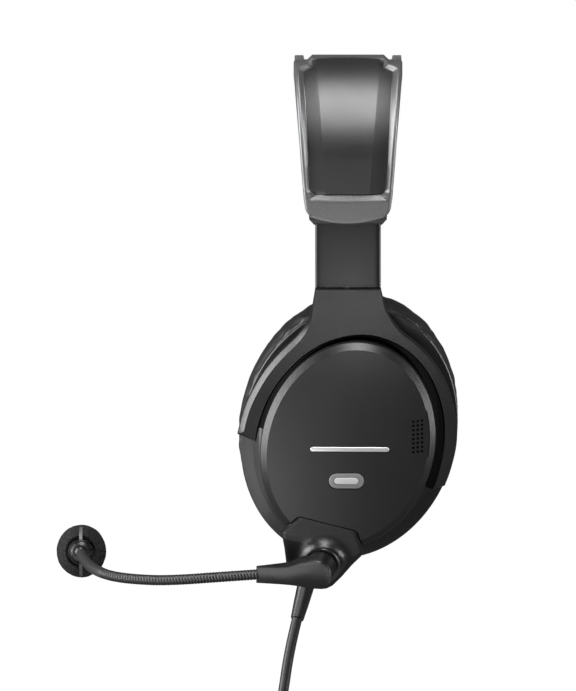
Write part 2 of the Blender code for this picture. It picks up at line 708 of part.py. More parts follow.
def make_inside(side, word, cup):
    """The baffle that closes the cup towards the ear, its driver, and the electronics behind it."""
    seat_x = FLANGE_X - FLANGE_WALL - GAP
    seat_z = FLANGE_Z - FLANGE_WALL - GAP
    face = FLANGE_BACK + BAFFLE_THICK
    rings = ovals(((FLANGE_BACK, seat_x, seat_z), (face, seat_x, seat_z)), side)
    hole = ovals(((face, 1.0, 1.0), (FLANGE_BACK, 1.0, 1.0)), side)
    centre = Vector((CUP_X, 0.0, CUP_Z))
    hole_radius = DRIVER_RADIUS + GAP
    for ring in hole:
        for i, point in enumerate(ring):
            angle = 2.0 * math.pi * i / CUP_SIDES
            point.x = centre.x + hole_radius * math.cos(angle)
            point.z = centre.z + hole_radius * math.sin(angle)
    skin(f"{word}_baffle", rings + hole, PLASTIC, cup, closed=True)
    front = centre + Vector((0.0, side * FLANGE_BACK, 0.0))
    back = centre + Vector((0.0, side * (FLANGE_BACK + DRIVER_DEPTH), 0.0))
    magnet = DRIVER_RADIUS * 0.62
    radii = ((0.0, DRIVER_RADIUS), (0.35, DRIVER_RADIUS), (0.45, magnet), (1.0, magnet))
    rod(f"{word}_driver", front, back, radii, STEEL, cup)
    rings = []
    for out in (-0.0050, -0.0050 + BOARD_THICK):
        section = chamfered(-BOARD_HALF_X, BOARD_HALF_X, -BOARD_HALF_Z, BOARD_HALF_Z, 0.006)
        rings.append([Vector((CUP_X + x, side * out, CUP_Z + z)) for x, z in section])
    skin(f"{word}_circuit_board", rings, BOARD, cup)


def make_ear_cushion(side, word, cup):
    """A padded ring that is flat against the flange and full towards the head, and its screen."""
    back = FLANGE_BACK - GAP
    front = back - PAD_DEPTH
    middle_x = (PAD_X + PAD_HOLE_X) / 2.0
    middle_z = (PAD_Z + PAD_HOLE_Z) / 2.0
    flat = 0.0030
    profile = (
        (back, PAD_HOLE_X + 0.0010, PAD_HOLE_Z + 0.0010),
        (back, PAD_X - 0.0012, PAD_Z - 0.0012),
        (back - 0.0040, PAD_X, PAD_Z),
        (back - 0.0120, PAD_X - 0.0002, PAD_Z - 0.0002),
        (back - 0.0170, PAD_X - 0.0025, PAD_Z - 0.0025),
        (front, middle_x + flat, middle_z + flat),
        (front, middle_x - flat, middle_z - flat),
        (back - 0.0170, PAD_HOLE_X + 0.0020, PAD_HOLE_Z + 0.0020),
        (back - 0.0100, PAD_HOLE_X, PAD_HOLE_Z),
    )
    skin(f"{word}_ear_cushion", ovals(profile, side), LEATHER, cup, closed=True)
    profile = (
        (back, PAD_HOLE_X + 0.0004, PAD_HOLE_Z + 0.0004),
        (back - SCREEN_THICK, PAD_HOLE_X + 0.0004, PAD_HOLE_Z + 0.0004),
    )
    skin(f"{word}_ear_screen", ovals(profile, side), CLOTH, cup)


# --- Module under the cup ------------------------------------------------------------------------
def make_module(name, side, cup, face):
    """The piece that fills the cover's notch and tapers down below the cup."""
    plate_back = COVER_BACK + GAP
    sections = (
        (MODULE_TOP, CUP_X, MODULE_TOP_HALF, plate_back, face),
        (MODULE_SHOULDER, CUP_X, MODULE_SHOULDER_HALF, plate_back, face - 0.0001),
        *MODULE_BELOW,
    )
    rings = []
    for z, middle, half, low, high in sections:
        section = chamfered(middle - half, middle + half, low, high, 0.0014)
        rings.append([Vector((x, side * out, z)) for x, out in section])
    return skin(name, rings, PLASTIC, cup)


def make_boom_module(cup, hub):
    module = make_module("boom_module", LEFT, cup, MODULE_FACE)
    inside = Vector((0.0, 0.0060, 0.0))
    seat = Vector((0.0, -HUB_SEAT, 0.0))
    radii = ((0.0, HUB_RADIUS + 0.0030), (0.35, HUB_RADIUS + 0.0016), (0.6, HUB_RADIUS + 0.0005),
             (1.0, HUB_RADIUS + 0.0002))
    boolean(module, rod("hub_boss", inside, seat, radii, PLASTIC, hub), "UNION")
    bore = AXLE_RADIUS + RUNNING
    start = Vector((0.0, 0.0050, 0.0))
    end = Vector((0.0, -HUB_SEAT - 0.002, 0.0))
    boolean(module, plain_rod("module_axle_bore", start, end, bore, STEEL, hub, 12))
    start = Vector((0.0, 0.0047, 0.0))
    end = Vector((0.0, -HUB_FACE + 0.0030, 0.0))
    plain_rod("boom_axle", start, end, AXLE_RADIUS, STEEL, hub, 12)


def make_strain_relief(cup):
    out = -0.0010
    start = Vector((RELIEF_X, LEFT * -out, MODULE_FOOT - GAP))
    end = start - Vector((0.0, 0.0, RELIEF_LENGTH))
    radii = ((0.0, RELIEF_TOP_RADIUS), (0.12, RELIEF_TOP_RADIUS), (1.0, RELIEF_END_RADIUS))
    rod("strain_relief", start, end, radii, RUBBER, cup)


# --- Boom and microphone -------------------------------------------------------------------------
# The gooseneck's route from the boom's tip, in the boom's frame: forwards is -X, towards the mouth
# is +Y. It leaves the boom level and bends in to the mouth.
NECK_ROUTE = (
    (-BOOM_REACH - GAP, -0.0101, -0.0005),
    (-0.0350, -0.0107, -0.0012),
    (-0.0449, -0.0109, -0.0021),
    (-0.0549, -0.0106, -0.0032),
    (-0.0653, -0.0093, -0.0044),
    (-0.0751, -0.0068, -0.0054),
    (-0.0840, -0.0031, -0.0064),
    (-0.0910, 0.0016, -0.0072),
    (-0.0975, 0.0086, -0.0080),
    (-0.1027, 0.0167, -0.0084),
    (-0.1062, 0.0241, -0.0084),
)
SLEEVE_FROM = 6  # the ribbed neck runs to this point of the route, and a plain sleeve goes on


def smooth_route(points, steps):
    """Points on one smooth curve through the route's own points."""
    points = [Vector(point) for point in points]
    ends = [points[0] * 2.0 - points[1], *points, points[-1] * 2.0 - points[-2]]
    route = []
    for a, b, c, d in zip(ends, ends[1:], ends[2:], ends[3:]):
        for step in range(steps):
            t = step / steps
            route.append(
                0.5 * (2.0 * b + (c - a) * t + (2.0 * a - 5.0 * b + 4.0 * c - d) * t * t
                       + (3.0 * b - a - 3.0 * c + d) * t * t * t)
            )
    route.append(points[-1])
    return route


def tube(name, points, radius, material, parent=None, resolution=2):
    """A round tube along points, with filled caps."""
    curve = bpy.data.curves.new(name, "CURVE")
    curve.dimensions = "3D"
    curve.bevel_depth = radius
    curve.bevel_resolution = resolution
    curve.use_fill_caps = True
    spline = curve.splines.new("POLY")
    spline.points.add(len(points) - 1)
    for place, point in zip(spline.points, points):
        place.co = (*point, 1.0)
    curve.materials.append(material)
    piece = bpy.data.objects.new(name, curve)
    bpy.context.scene.collection.objects.link(piece)
    piece.parent = parent
    return piece


def make_boom(boom):
    """The boom's hub turns on the axle, and its arm carries the gooseneck."""
    seat = Vector((0.0, -HUB_SEAT - GAP, 0.0))
    face = Vector((0.0, -HUB_FACE, 0.0))
    radii = ((0.0, HUB_RADIUS), (0.9, HUB_RADIUS), (1.0, HUB_RADIUS - 0.0010))
    arm = rod("boom_arm", seat, face, radii, PLASTIC, boom)
    sections = (
        (0.0010, HUB_RADIUS - 0.0008, 0.0040, HUB_FACE - 0.0006),
        (-0.0070, 0.0052, 0.0042, HUB_FACE - 0.0006),
        (-0.0160, 0.0042, 0.0045, HUB_FACE - 0.0008),
        (-BOOM_REACH, BOOM_TIP_HALF, 0.0047, HUB_FACE - 0.0002),
    )
    rings = []
    for x, half, low, high in sections:
        section = chamfered(-half, half, low, high, 0.0012)
        rings.append([Vector((x, -out, z)) for z, out in section])
    boolean(arm, skin("boom_arm_reach", rings, PLASTIC, boom), "UNION")
    start = Vector((0.0, -HUB_SEAT + 0.001, 0.0))
    end = Vector((0.0, -HUB_FACE + 0.0030 - GAP, 0.0))
    boolean(arm, plain_rod("boom_axle_bore", start, end, AXLE_RADIUS + RUNNING, STEEL, boom, 12))
    route = smooth_route(NECK_ROUTE, 3)
    split = SLEEVE_FROM * 3
    tube("gooseneck", route[: split + 1], NECK_RADIUS, RUBBER, boom)
    onward = (route[split + 1] - route[split]).normalized() * GAP
    sleeve = [route[split] + onward, *route[split + 1 :]]
    tube("gooseneck_sleeve", sleeve, SLEEVE_RADIUS, PLASTIC, boom)


def make_microphone(mic):
    """The microphone on the gooseneck's end: a shallow round housing, its capsule and a foam ball."""
    start = Vector((0.0, MIC_START, 0.0))
    end = Vector((0.0, MIC_DEPTH, 0.0))
    radii = ((0.0, MIC_RADIUS * 0.55), (0.25, MIC_RADIUS), (1.0, MIC_RADIUS))
    rod("mic_housing", start, end, radii, PLASTIC, mic)
    start = Vector((0.0, MIC_DEPTH + GAP, 0.0))
    end = Vector((0.0, MIC_DEPTH + CAPSULE_DEPTH, 0.0))
    plain_rod("mic_capsule", start, end, MIC_RADIUS - 0.0006, STEEL, mic)
    rings = []
    steps = 10
    for i in range(1, steps):
        angle = math.pi * i / steps
        centre = Vector((0.0, FOAM_OUT - FOAM_RADIUS * math.cos(angle), 0.0))
        radius = FOAM_RADIUS * math.sin(angle)
        rings.append(round_ring(centre, Vector((1.0, 0.0, 0.0)), Vector((0.0, 0.0, 1.0)), radius, 20))
    foam = skin("windscreen", rings, FOAM, mic)
    mouth = Vector((0.0, -0.0030, 0.0))
    floor = Vector((0.0, MIC_DEPTH + CAPSULE_DEPTH + 2.0 * GAP, 0.0))
    boolean(foam, plain_rod("windscreen_hollow", mouth, floor, MIC_RADIUS + GAP, FOAM, mic))


# --- Cord ----------------------------------------------------------------------------------------
# The cord's own points, in metres: out of the strain relief, down under its weight, into the coil.
CORD_ROUTE = (
    (-0.0208, -0.0489, -0.2061),
    (-0.0221, -0.0480, -0.2116),
    (-0.0233, -0.0473, -0.2172),
    (-0.0245, -0.0468, -0.2238),
    (-0.0256, -0.0466, -0.2312),
    (-0.0267, -0.0466, -0.2385),
    (-0.0271, -0.0468, -0.2450),
    (-0.0264, -0.0474, -0.2514),
    (-0.0236, -0.0482, -0.2572),
)
TAIL_ROUTE = (
    (-0.0072, -0.0376, -0.3030),
    (-0.0068, -0.0375, -0.3120),
    (-0.0066, -0.0379, -0.3210),
    (-0.0065, -0.0388, -0.3297),
)


def make_cord():
    tube("cable", smooth_route(CORD_ROUTE, 2), CORD_RADIUS, RUBBER)
    tube("cable_tail", smooth_route(TAIL_ROUTE, 2), CORD_RADIUS, RUBBER)
    rings = []
    for i in range(28):
        angle = 2.0 * math.pi * i / 28
        ring = []
        for reach, out in chamfered(-COIL_HALF, COIL_HALF, -COIL_HALF, COIL_HALF, 0.0018):
            x = (COIL_RADIUS + reach) * math.cos(angle)
            z = (COIL_RADIUS + reach) * math.sin(angle)
            ring.append(COIL_CENTRE + Vector((x, out, z)))
        rings.append(ring)
    skin("cable_coil", rings, RUBBER, closed=True)
    make_tie()
    make_connector()


def make_tie():
    """The strap that holds the coil's turns together, at its lowest point."""
    rings = []
    middle = COIL_CENTRE - Vector((0.0, 0.0, COIL_RADIUS))
    for x, half in ((-0.0030, 0.0070), (0.0030, 0.0070), (0.0030, 0.0080), (-0.0030, 0.0080)):
        section = chamfered(-half, half, -half, half, 0.0010)
        rings.append([middle + Vector((x, y, z)) for y, z in section])
    skin("cable_tie", rings, FOAM, closed=True)


def make_connector():
    """A round push-pull aircraft connector: the shell, the sleeve that slides on it, the contacts."""
    top = CONNECTOR_TOP
    end = top - Vector((0.0, 0.0, CONNECTOR_LENGTH))
    body = CONNECTOR_RADIUS - 0.0012
    radii = ((0.0, 0.0032), (0.28, 0.0044), (0.30, body), (1.0, body))
    shell = rod("connector_shell", top, end, radii, STEEL)
    deep = end + Vector((0.0, 0.0, 0.0110))
    below = end - Vector((0.0, 0.0, 0.001))
    boolean(shell, plain_rod("connector_hollow", deep, below, 0.0038, STEEL))
    insert_end = end + Vector((0.0, 0.0, 0.0030))
    insert_start = deep - Vector((0.0, 0.0, GAP))
    plain_rod("connector_insert", insert_start, insert_end, 0.0035, PLASTIC)
    inner = CONNECTOR_RADIUS - 0.0012 + GAP
    rings = []
    sleeve_low = end.z + 0.0080
    sleeve_high = end.z + 0.0210
    corners = (
        (sleeve_low, inner), (sleeve_high, inner),
        (sleeve_high, CONNECTOR_RADIUS), (sleeve_low, CONNECTOR_RADIUS),
    )
    for z, radius in corners:
        centre = Vector((end.x, end.y, z))
        rings.append(round_ring(centre, Vector((1.0, 0.0, 0.0)), Vector((0.0, 1.0, 0.0)), radius))
    skin("connector_sleeve", rings, STEEL, closed=True)


# --- The whole headset ---------------------------------------------------------------------------
def make_side(side, word):
    """One side's chain of frames and the pieces in each. Returns the cup's frame."""
    hinge = new_empty(f"{word}_arm_hinge", (0.0, side * PIN_OUT, PIN_Z))
    out, up = arm_place(ARM_LENGTH, 0.0)
    lean = -side * SIDE_LEAN
    place = (0.0, side * (out - PIN_OUT), up - PIN_Z)
    runner = new_empty(f"{word}_slider_way", place, (lean, 0.0, 0.0), hinge)
    swivel = new_empty(f"{word}_yoke_swivel", (0.0, 0.0, -SLIDER_SHOWN), parent=runner)
    tilt = -side * CUP_TILT
    cup = new_empty(f"{word}_cup_pivot", (PIVOT_X, 0.0, -PIVOT_DROP), (tilt, CUP_LEAN, 0.0), swivel)
    make_arm(side, word, hinge, runner)
    make_slider(side, word, runner)
    make_yoke(side, word, swivel)
    make_housing(side, word, cup)
    make_cover(side, word, cup)
    make_inside(side, word, cup)
    make_ear_cushion(side, word, cup)
    return cup


def main():
    for old in list(bpy.data.objects):
        bpy.data.objects.remove(old)
    make_materials()
    make_crown()
    left_cup = make_side(LEFT, "left")
    right_cup = make_side(RIGHT, "right")
    place = (HUB_X, LEFT * MODULE_FACE, HUB_Z)
    turn = (HUB_TIP_DOWN, BOOM_LEVEL, HUB_TURN_IN)
    boom = new_empty("boom_turn", place, turn, left_cup, "YXZ")
    mic = new_empty("mic_swivel", NECK_ROUTE[-1], MIC_TURN, boom)
    make_boom_module(left_cup, boom)
    make_strain_relief(left_cup)
    make_module("blank_module", RIGHT, right_cup, MODULE_FACE)
    make_boom(boom)
    make_microphone(mic)
    make_cord()


main()
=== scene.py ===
"""The looks of the aviation headset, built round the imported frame. Metres, +Z up."""
import json
import math

import bmesh
import bpy
from mathutils import Matrix, Vector, noise


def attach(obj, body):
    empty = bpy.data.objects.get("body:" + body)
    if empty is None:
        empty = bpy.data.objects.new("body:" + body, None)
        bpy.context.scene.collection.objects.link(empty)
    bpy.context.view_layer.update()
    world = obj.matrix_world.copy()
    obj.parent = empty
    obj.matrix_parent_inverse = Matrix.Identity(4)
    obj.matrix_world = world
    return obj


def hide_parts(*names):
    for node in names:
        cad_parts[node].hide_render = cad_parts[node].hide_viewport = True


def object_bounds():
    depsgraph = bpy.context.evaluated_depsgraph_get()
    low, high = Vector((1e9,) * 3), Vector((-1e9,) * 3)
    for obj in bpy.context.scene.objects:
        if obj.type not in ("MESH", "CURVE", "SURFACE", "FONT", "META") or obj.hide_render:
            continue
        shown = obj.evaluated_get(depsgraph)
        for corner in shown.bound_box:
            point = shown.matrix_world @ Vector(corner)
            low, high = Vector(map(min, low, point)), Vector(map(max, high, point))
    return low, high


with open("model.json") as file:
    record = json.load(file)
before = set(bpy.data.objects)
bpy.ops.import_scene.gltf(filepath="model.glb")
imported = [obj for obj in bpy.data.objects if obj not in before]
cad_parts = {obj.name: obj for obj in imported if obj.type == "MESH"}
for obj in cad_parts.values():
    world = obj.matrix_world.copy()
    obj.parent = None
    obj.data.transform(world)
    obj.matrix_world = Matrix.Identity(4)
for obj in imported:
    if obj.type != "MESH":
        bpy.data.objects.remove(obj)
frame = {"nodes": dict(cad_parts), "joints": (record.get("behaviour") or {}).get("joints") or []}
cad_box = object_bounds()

# --- Camera, floor and light ----------------------------------------------------------------------
# The headset hangs level in front of a plain pale backdrop and is seen from the wearer's left.
# A wide light above and a strip to each side draw the edges of its black pieces, and three small
# ones lift the slider, the cover and the microphone's side.
VIEW_CENTRE = Vector((-0.0240, 0.0, -0.0946))
EYE = Vector((0.0, 0.0, -0.0600))
CUP_PLANE = -0.072
CAMERA_AWAY = 3.40
VIEW_WIDTH = 0.2304
FLOOR_BELOW = 0.004
FLOOR_HALF = 6.0
FLOOR_GREY = 0.13
DIM_SURROUND = 0.07
WHITE_SURROUND = 1.0
CUP_MIDDLE = (0.0, -0.07, -0.13)

scene = bpy.context.scene
camera = bpy.data.objects.new("camera", bpy.data.cameras.new("camera"))
scene.collection.objects.link(camera)
camera.location = (EYE.x, CUP_PLANE - CAMERA_AWAY, EYE.z)
camera.rotation_euler = (math.radians(90.0), 0.0, 0.0)
camera.data.sensor_fit = "HORIZONTAL"
camera.data.sensor_width = 36.0
camera.data.lens = 36.0 * CAMERA_AWAY / VIEW_WIDTH
camera.data.shift_x = (VIEW_CENTRE.x - EYE.x) / VIEW_WIDTH
camera.data.shift_y = (VIEW_CENTRE.z - EYE.z) / VIEW_WIDTH
camera.data.clip_end = 20.0
scene.camera = camera
scene.view_settings.view_transform = "Standard"


def link(tree, source, target):
    tree.links.new(source, target)


def studio_world(ambient, seen):
    """A white surround to the camera, and a dimmer one to everything that it lights."""
    world = bpy.data.worlds.new("studio")
    scene.world = world
    world.use_nodes = True
    tree = world.node_tree
    tree.nodes.clear()
    output = tree.nodes.new("ShaderNodeOutputWorld")
    mix = tree.nodes.new("ShaderNodeMixShader")
    path = tree.nodes.new("ShaderNodeLightPath")
    dim = tree.nodes.new("ShaderNodeBackground")
    white = tree.nodes.new("ShaderNodeBackground")
    for background, strength in ((dim, ambient), (white, seen)):
        background.inputs["Strength"].default_value = strength
        background.inputs["Color"].default_value = (1.0, 1.0, 1.0, 1.0)
    link(tree, path.outputs["Is Camera Ray"], mix.inputs["Fac"])
    link(tree, dim.outputs[0], mix.inputs[1])
    link(tree, white.outputs[0], mix.inputs[2])
    link(tree, mix.outputs[0], output.inputs["Surface"])


def soft_light(name, place, aim, width, height, power):
    """A soft box: a lit rectangle that the camera doesn't see."""
    light = bpy.data.lights.new(name, "AREA")
    light.shape = "RECTANGLE"
    light.size = width
    light.size_y = height
    light.energy = power
    lamp = bpy.data.objects.new(name, light)
    scene.collection.objects.link(lamp)
    lamp.location = place
    lamp.rotation_euler = (Vector(aim) - Vector(place)).to_track_quat("-Z", "Y").to_euler()
    lamp.visible_camera = False


def pale_floor():
    """A wide floor below the lowest piece, pale enough to meet the white backdrop."""
    low = cad_box[0][2] - FLOOR_BELOW
    mesh = bpy.data.meshes.new("floor")
    corners = [(FLOOR_HALF * x, FLOOR_HALF * y, low) for x, y in ((-1, -1), (1, -1), (1, 1), (-1, 1))]
    mesh.from_pydata(corners, [], [(0, 1, 2, 3)])
    floor = bpy.data.objects.new("floor", mesh)
    scene.collection.objects.link(floor)
    material = bpy.data.materials.new("pale_floor")
    material.use_nodes = True
    tree = material.node_tree
    shader = tree.nodes["Principled BSDF"]
    shader.inputs["Base Color"].default_value = (FLOOR_GREY, FLOOR_GREY, FLOOR_GREY, 1.0)
    shader.inputs["Roughness"].default_value = 0.9
    path = tree.nodes.new("ShaderNodeLightPath")
    shader.inputs["Emission Color"].default_value = (1.0, 1.0, 1.0, 1.0)
    link(tree, path.outputs["Is Camera Ray"], shader.inputs["Emission Strength"])
    mesh.materials.append(material)


studio_world(DIM_SURROUND, WHITE_SURROUND)
pale_floor()
soft_light("box_above", (0.0, -0.62, 0.80), (0.0, -0.06, -0.02), 0.30, 1.00, 14.0)
soft_light("strip_front", (-0.95, -0.22, 0.02), CUP_MIDDLE, 0.48, 1.24, 23.0)
soft_light("strip_rear", (0.92, -0.22, -0.05), CUP_MIDDLE, 0.20, 0.90, 9.0)
soft_light("glow_slider", (0.0, -0.22, -0.122), (0.0, -0.07, -0.075), 0.05, 0.02, 0.030)
soft_light("glow_cover", (-0.09, -0.25, -0.222), (-0.02, -0.07, -0.135), 0.12, 0.08, 0.016)
soft_light("low_side", (-0.16, -0.24, -0.330), (-0.035, -0.07, -0.165), 0.24, 0.24, 0.55)

# --- Cord -----------------------------------------------------------------------------------------
# A round jacketed lead. It hangs from the strain relief under the left cup, and the length that
# isn't needed is wound in a neat tied coil, with the aircraft connector on its tail.
CORD_RADIUS = 0.0021
COIL_RADIUS = 0.0250
COIL_CENTRE = Vector((-0.0290, -0.0465, -0.2910))
CORD_PITCH = 0.0042
CORD_ROUTE = (
    (-0.0208, -0.0489, -0.2061),
    (-0.0221, -0.0480, -0.2116),
    (-0.0233, -0.0473, -0.2172),
    (-0.0245, -0.0468, -0.2238),
    (-0.0256, -0.0466, -0.2312),
    (-0.0267, -0.0466, -0.2385),
    (-0.0271, -0.0468, -0.2450),
    (-0.0264, -0.0474, -0.2514),
    (-0.0236, -0.0482, -0.2572),
)
TAIL_ROUTE = (
    (-0.0072, -0.0376, -0.3030),
    (-0.0068, -0.0375, -0.3120),
    (-0.0066, -0.0379, -0.3210),
    (-0.0065, -0.0388, -0.3297),
)
JOIN_ANGLE = math.radians(58.0)
FIRST_RUN = Vector(CORD_ROUTE[0]) - Vector(CORD_ROUTE[1])
RELIEF_TURN = FIRST_RUN.to_track_quat("Z", "X").to_matrix().to_4x4()
RELIEF_FRAME = Matrix.Translation(CORD_ROUTE[0]) @ RELIEF_TURN
# The order in which the turns fill the coil: (ring from the outside, layer from the front).
TURNS = ((0, 0), (1, 0), (2, 0), (2, 1), (1, 1), (0, 1), (0, 2), (1, 2), (2, 2))
POINTS_IN_TURN = 24


def smooth_route(points, steps):
    """Points on one smooth curve through the route's own points."""
    points = [Vector(point) for point in points]
    ends = [points[0] * 2.0 - points[1], *points, points[-1] * 2.0 - points[-2]]
    route = []
    for a, b, c, d in zip(ends, ends[1:], ends[2:], ends[3:]):
        for step in range(steps):
            t = step / steps
            route.append(
                0.5 * (2.0 * b + (c - a) * t + (2.0 * a - 5.0 * b + 4.0 * c - d) * t * t
                       + (3.0 * b - a - 3.0 * c + d) * t * t * t)
            )
    route.append(points[-1])
    return route


def coil_points():
    """The turns, clockwise as seen from the camera, each a cord's width from its neighbours."""
    points = []
    for turn, (ring, layer) in enumerate(TURNS):
        onward = TURNS[min(turn + 1, len(TURNS) - 1)]
        for step in range(POINTS_IN_TURN):
            share = step / POINTS_IN_TURN
            change = max(0.0, (share - 0.75) / 0.25)
            blend = change * change * (3.0 - 2.0 * change)
            reach = COIL_RADIUS + CORD_PITCH * (1.0 - ring - blend * (onward[0] - ring))
            out = CORD_PITCH * (layer - 1.0 + blend * (onward[1] - layer))
            angle = JOIN_ANGLE - 2.0 * math.pi * share
            points.append(COIL_CENTRE + Vector((reach * math.cos(angle), out, reach * math.sin(angle))))
    return points


def cord_curve():
    """The whole lead as one curve: down from the relief, round the coil, and out to the connector."""
    inner = COIL_RADIUS - CORD_PITCH
    last = []
    for degrees in (58.0, 43.0, 28.0, 13.0):
        angle = math.radians(degrees)
        out = CORD_PITCH + 0.0005 * (58.0 - degrees) / 15.0
        last.append(COIL_CENTRE + Vector((inner * math.cos(angle), out, inner * math.sin(angle))))
    crossing = COIL_CENTRE + Vector((0.0212, 0.0072, -0.0040))
    inside = RELIEF_FRAME @ Vector((0.0, 0.0, 0.0020))
    route = [inside] + [Vector(p) for p in CORD_ROUTE] + coil_points() + last + [crossing]
    route += [Vector(p) for p in TAIL_ROUTE]
    curve = bpy.data.curves.new("cord", "CURVE")
    curve.dimensions = "3D"
    curve.bevel_depth = CORD_RADIUS
    curve.bevel_resolution = 4
    curve.use_fill_caps = True
    spline = curve.splines.new("POLY")
    spline.use_smooth = True
    points = smooth_route(route, 2)
    spline.points.add(len(points) - 1)
    for spot, point in zip(spline.points, points):
        spot.co = (*point, 1.0)
    cord = bpy.data.objects.new("cord", curve)
    scene.collection.objects.link(cord)
    return cord, sum((b - a).length for a, b in zip(points, points[1:]))


def grain_group():
    """Fine surface texture: a bumped normal, a tone near 1 and a roughness to add, from noise."""
    group = bpy.data.node_groups.new("fine_grain", "ShaderNodeTree")
    for name, value in (("Scale", 3000.0), ("Height", 0.1), ("Tone", 0.1), ("Patch", 40.0)):
        socket = group.interface.new_socket(name=name, in_out="INPUT", socket_type="NodeSocketFloat")
        socket.default_value = value
    for name, kind in (("Normal", "Vector"), ("Shade", "Float"), ("Rough", "Float")):
        group.interface.new_socket(name=name, in_out="OUTPUT", socket_type=f"NodeSocket{kind}")
    nodes = group.nodes
    given = nodes.new("NodeGroupInput")
    made = nodes.new("NodeGroupOutput")
    place = nodes.new("ShaderNodeTexCoord")
    fine = nodes.new("ShaderNodeTexNoise")
    fine.inputs["Detail"].default_value = 3.0
    patch = nodes.new("ShaderNodeTexNoise")
    patch.inputs["Detail"].default_value = 2.0
    bump = nodes.new("ShaderNodeBump")
    bump.inputs["Distance"].default_value = 0.0002
    tone = nodes.new("ShaderNodeMath")
    tone.operation = "MULTIPLY"
    shift = nodes.new("ShaderNodeMath")
    shift.operation = "ADD"
    spread = nodes.new("ShaderNodeMapRange")
    spread.inputs["To Min"].default_value = -1.0
    rough = nodes.new("ShaderNodeMapRange")
    rough.inputs["To Min"].default_value = -0.05
    rough.inputs["To Max"].default_value = 0.05
    shift.inputs[1].default_value = 1.0
    link(group, place.outputs["Object"], fine.inputs["Vector"])
    link(group, place.outputs["Object"], patch.inputs["Vector"])
    link(group, given.outputs["Scale"], fine.inputs["Scale"])
    link(group, given.outputs["Patch"], patch.inputs["Scale"])
    link(group, fine.outputs["Fac"], bump.inputs["Height"])
    link(group, given.outputs["Height"], bump.inputs["Strength"])
    link(group, fine.outputs["Fac"], spread.inputs["Value"])
    link(group, spread.outputs[0], tone.inputs[0])
    link(group, given.outputs["Tone"], tone.inputs[1])
    link(group, tone.outputs[0], shift.inputs[0])
    link(group, patch.outputs["Fac"], rough.inputs["Value"])
    link(group, bump.outputs[0], made.inputs["Normal"])
    link(group, shift.outputs[0], made.inputs["Shade"])
    link(group, rough.outputs[0], made.inputs["Rough"])
    return group


GRAIN = grain_group()


def finish(name, colour, roughness, scale, height, tone=0.1, metallic=0.0, patch=40.0, **more):
    """A moulded or painted finish whose fine grain shows in its tone, gloss and relief."""
    material = bpy.data.materials.new(name)
    material.use_nodes = True
    tree = material.node_tree
    shader = tree.nodes["Principled BSDF"]
    grain = tree.nodes.new("ShaderNodeGroup")
    grain.node_tree = GRAIN
    for socket, value in (("Scale", scale), ("Height", height), ("Tone", tone), ("Patch", patch)):
        grain.inputs[socket].default_value = value
    shade = tree.nodes.new("ShaderNodeVectorMath")
    shade.operation = "SCALE"
    shade.inputs[0].default_value = colour
    rough = tree.nodes.new("ShaderNodeMath")
    rough.operation = "ADD"
    rough.inputs[1].default_value = roughness
    shader.inputs["Metallic"].default_value = metallic
    for socket, value in more.items():
        shader.inputs[socket.replace("_", " ")].default_value = value
    link(tree, grain.outputs["Shade"], shade.inputs["Scale"])
    link(tree, shade.outputs[0], shader.inputs["Base Color"])
    link(tree, grain.outputs["Rough"], rough.inputs[0])
    link(tree, rough.outputs[0], shader.inputs["Roughness"])
    link(tree, grain.outputs["Normal"], shader.inputs["Normal"])
    return material


def place_one(piece, body, nodes=()):
    """Puts a single piece on its body, in place of its CAD nodes."""
    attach(piece, body)
    if nodes:
        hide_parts(*nodes)


CORD_JACKET = finish("cord_jacket", (0.009, 0.009, 0.0095), 0.42, 1800.0, 0.20, 0.10)
cord, cord_length = cord_curve()
cord.data.materials.append(CORD_JACKET)
place_one(cord, "left_cup", ("cable", "cable_tail", "cable_coil"))

# The tie is a woven hook strap, closed on itself round the turns.
TIE_HALF_WIDTH = 0.0030
TIE_REACH = 0.0076
TIE_ROUND = 0.0003
TIE_INSIDE = 0.9


def shade(piece, sharp=35.0):
    """Smooth faces, with a crisp edge wherever two meet at more than this angle."""
    piece.data.shade_smooth()
    piece.data.set_sharp_from_angle(angle=math.radians(sharp))


def new_piece(name, mesh, material, sharp=35.0):
    """An object from a bmesh, with its faces turned out and its round stretches smooth."""
    bmesh.ops.recalc_face_normals(mesh, faces=mesh.faces)
    data = bpy.data.meshes.new(name)
    mesh.to_mesh(data)
    mesh.free()
    piece = bpy.data.objects.new(name, data)
    scene.collection.objects.link(piece)
    data.materials.append(material)
    shade(piece, sharp)
    return piece


def skin(name, rings, material, closed=False, sharp=35.0):
    """A surface through rings of equal counts of points, with flat ends unless it closes on itself."""
    mesh = bmesh.new()
    rows = [[mesh.verts.new(point) for point in ring] for ring in rings]
    pairs = list(zip(rows, rows[1:]))
    if closed:
        pairs.append((rows[-1], rows[0]))
    for lower, upper in pairs:
        for i in range(len(lower)):
            j = (i + 1) % len(lower)
            mesh.faces.new((lower[i], lower[j], upper[j], upper[i]))
    if not closed:
        mesh.faces.new(rows[0])
        mesh.faces.new(rows[-1])
    return new_piece(name, mesh, material, sharp)


def round_steps(count):
    """The cosine and sine of each even step round a full turn."""
    angles = [2.0 * math.pi * i / count for i in range(count)]
    return [(math.cos(angle), math.sin(angle)) for angle in angles]


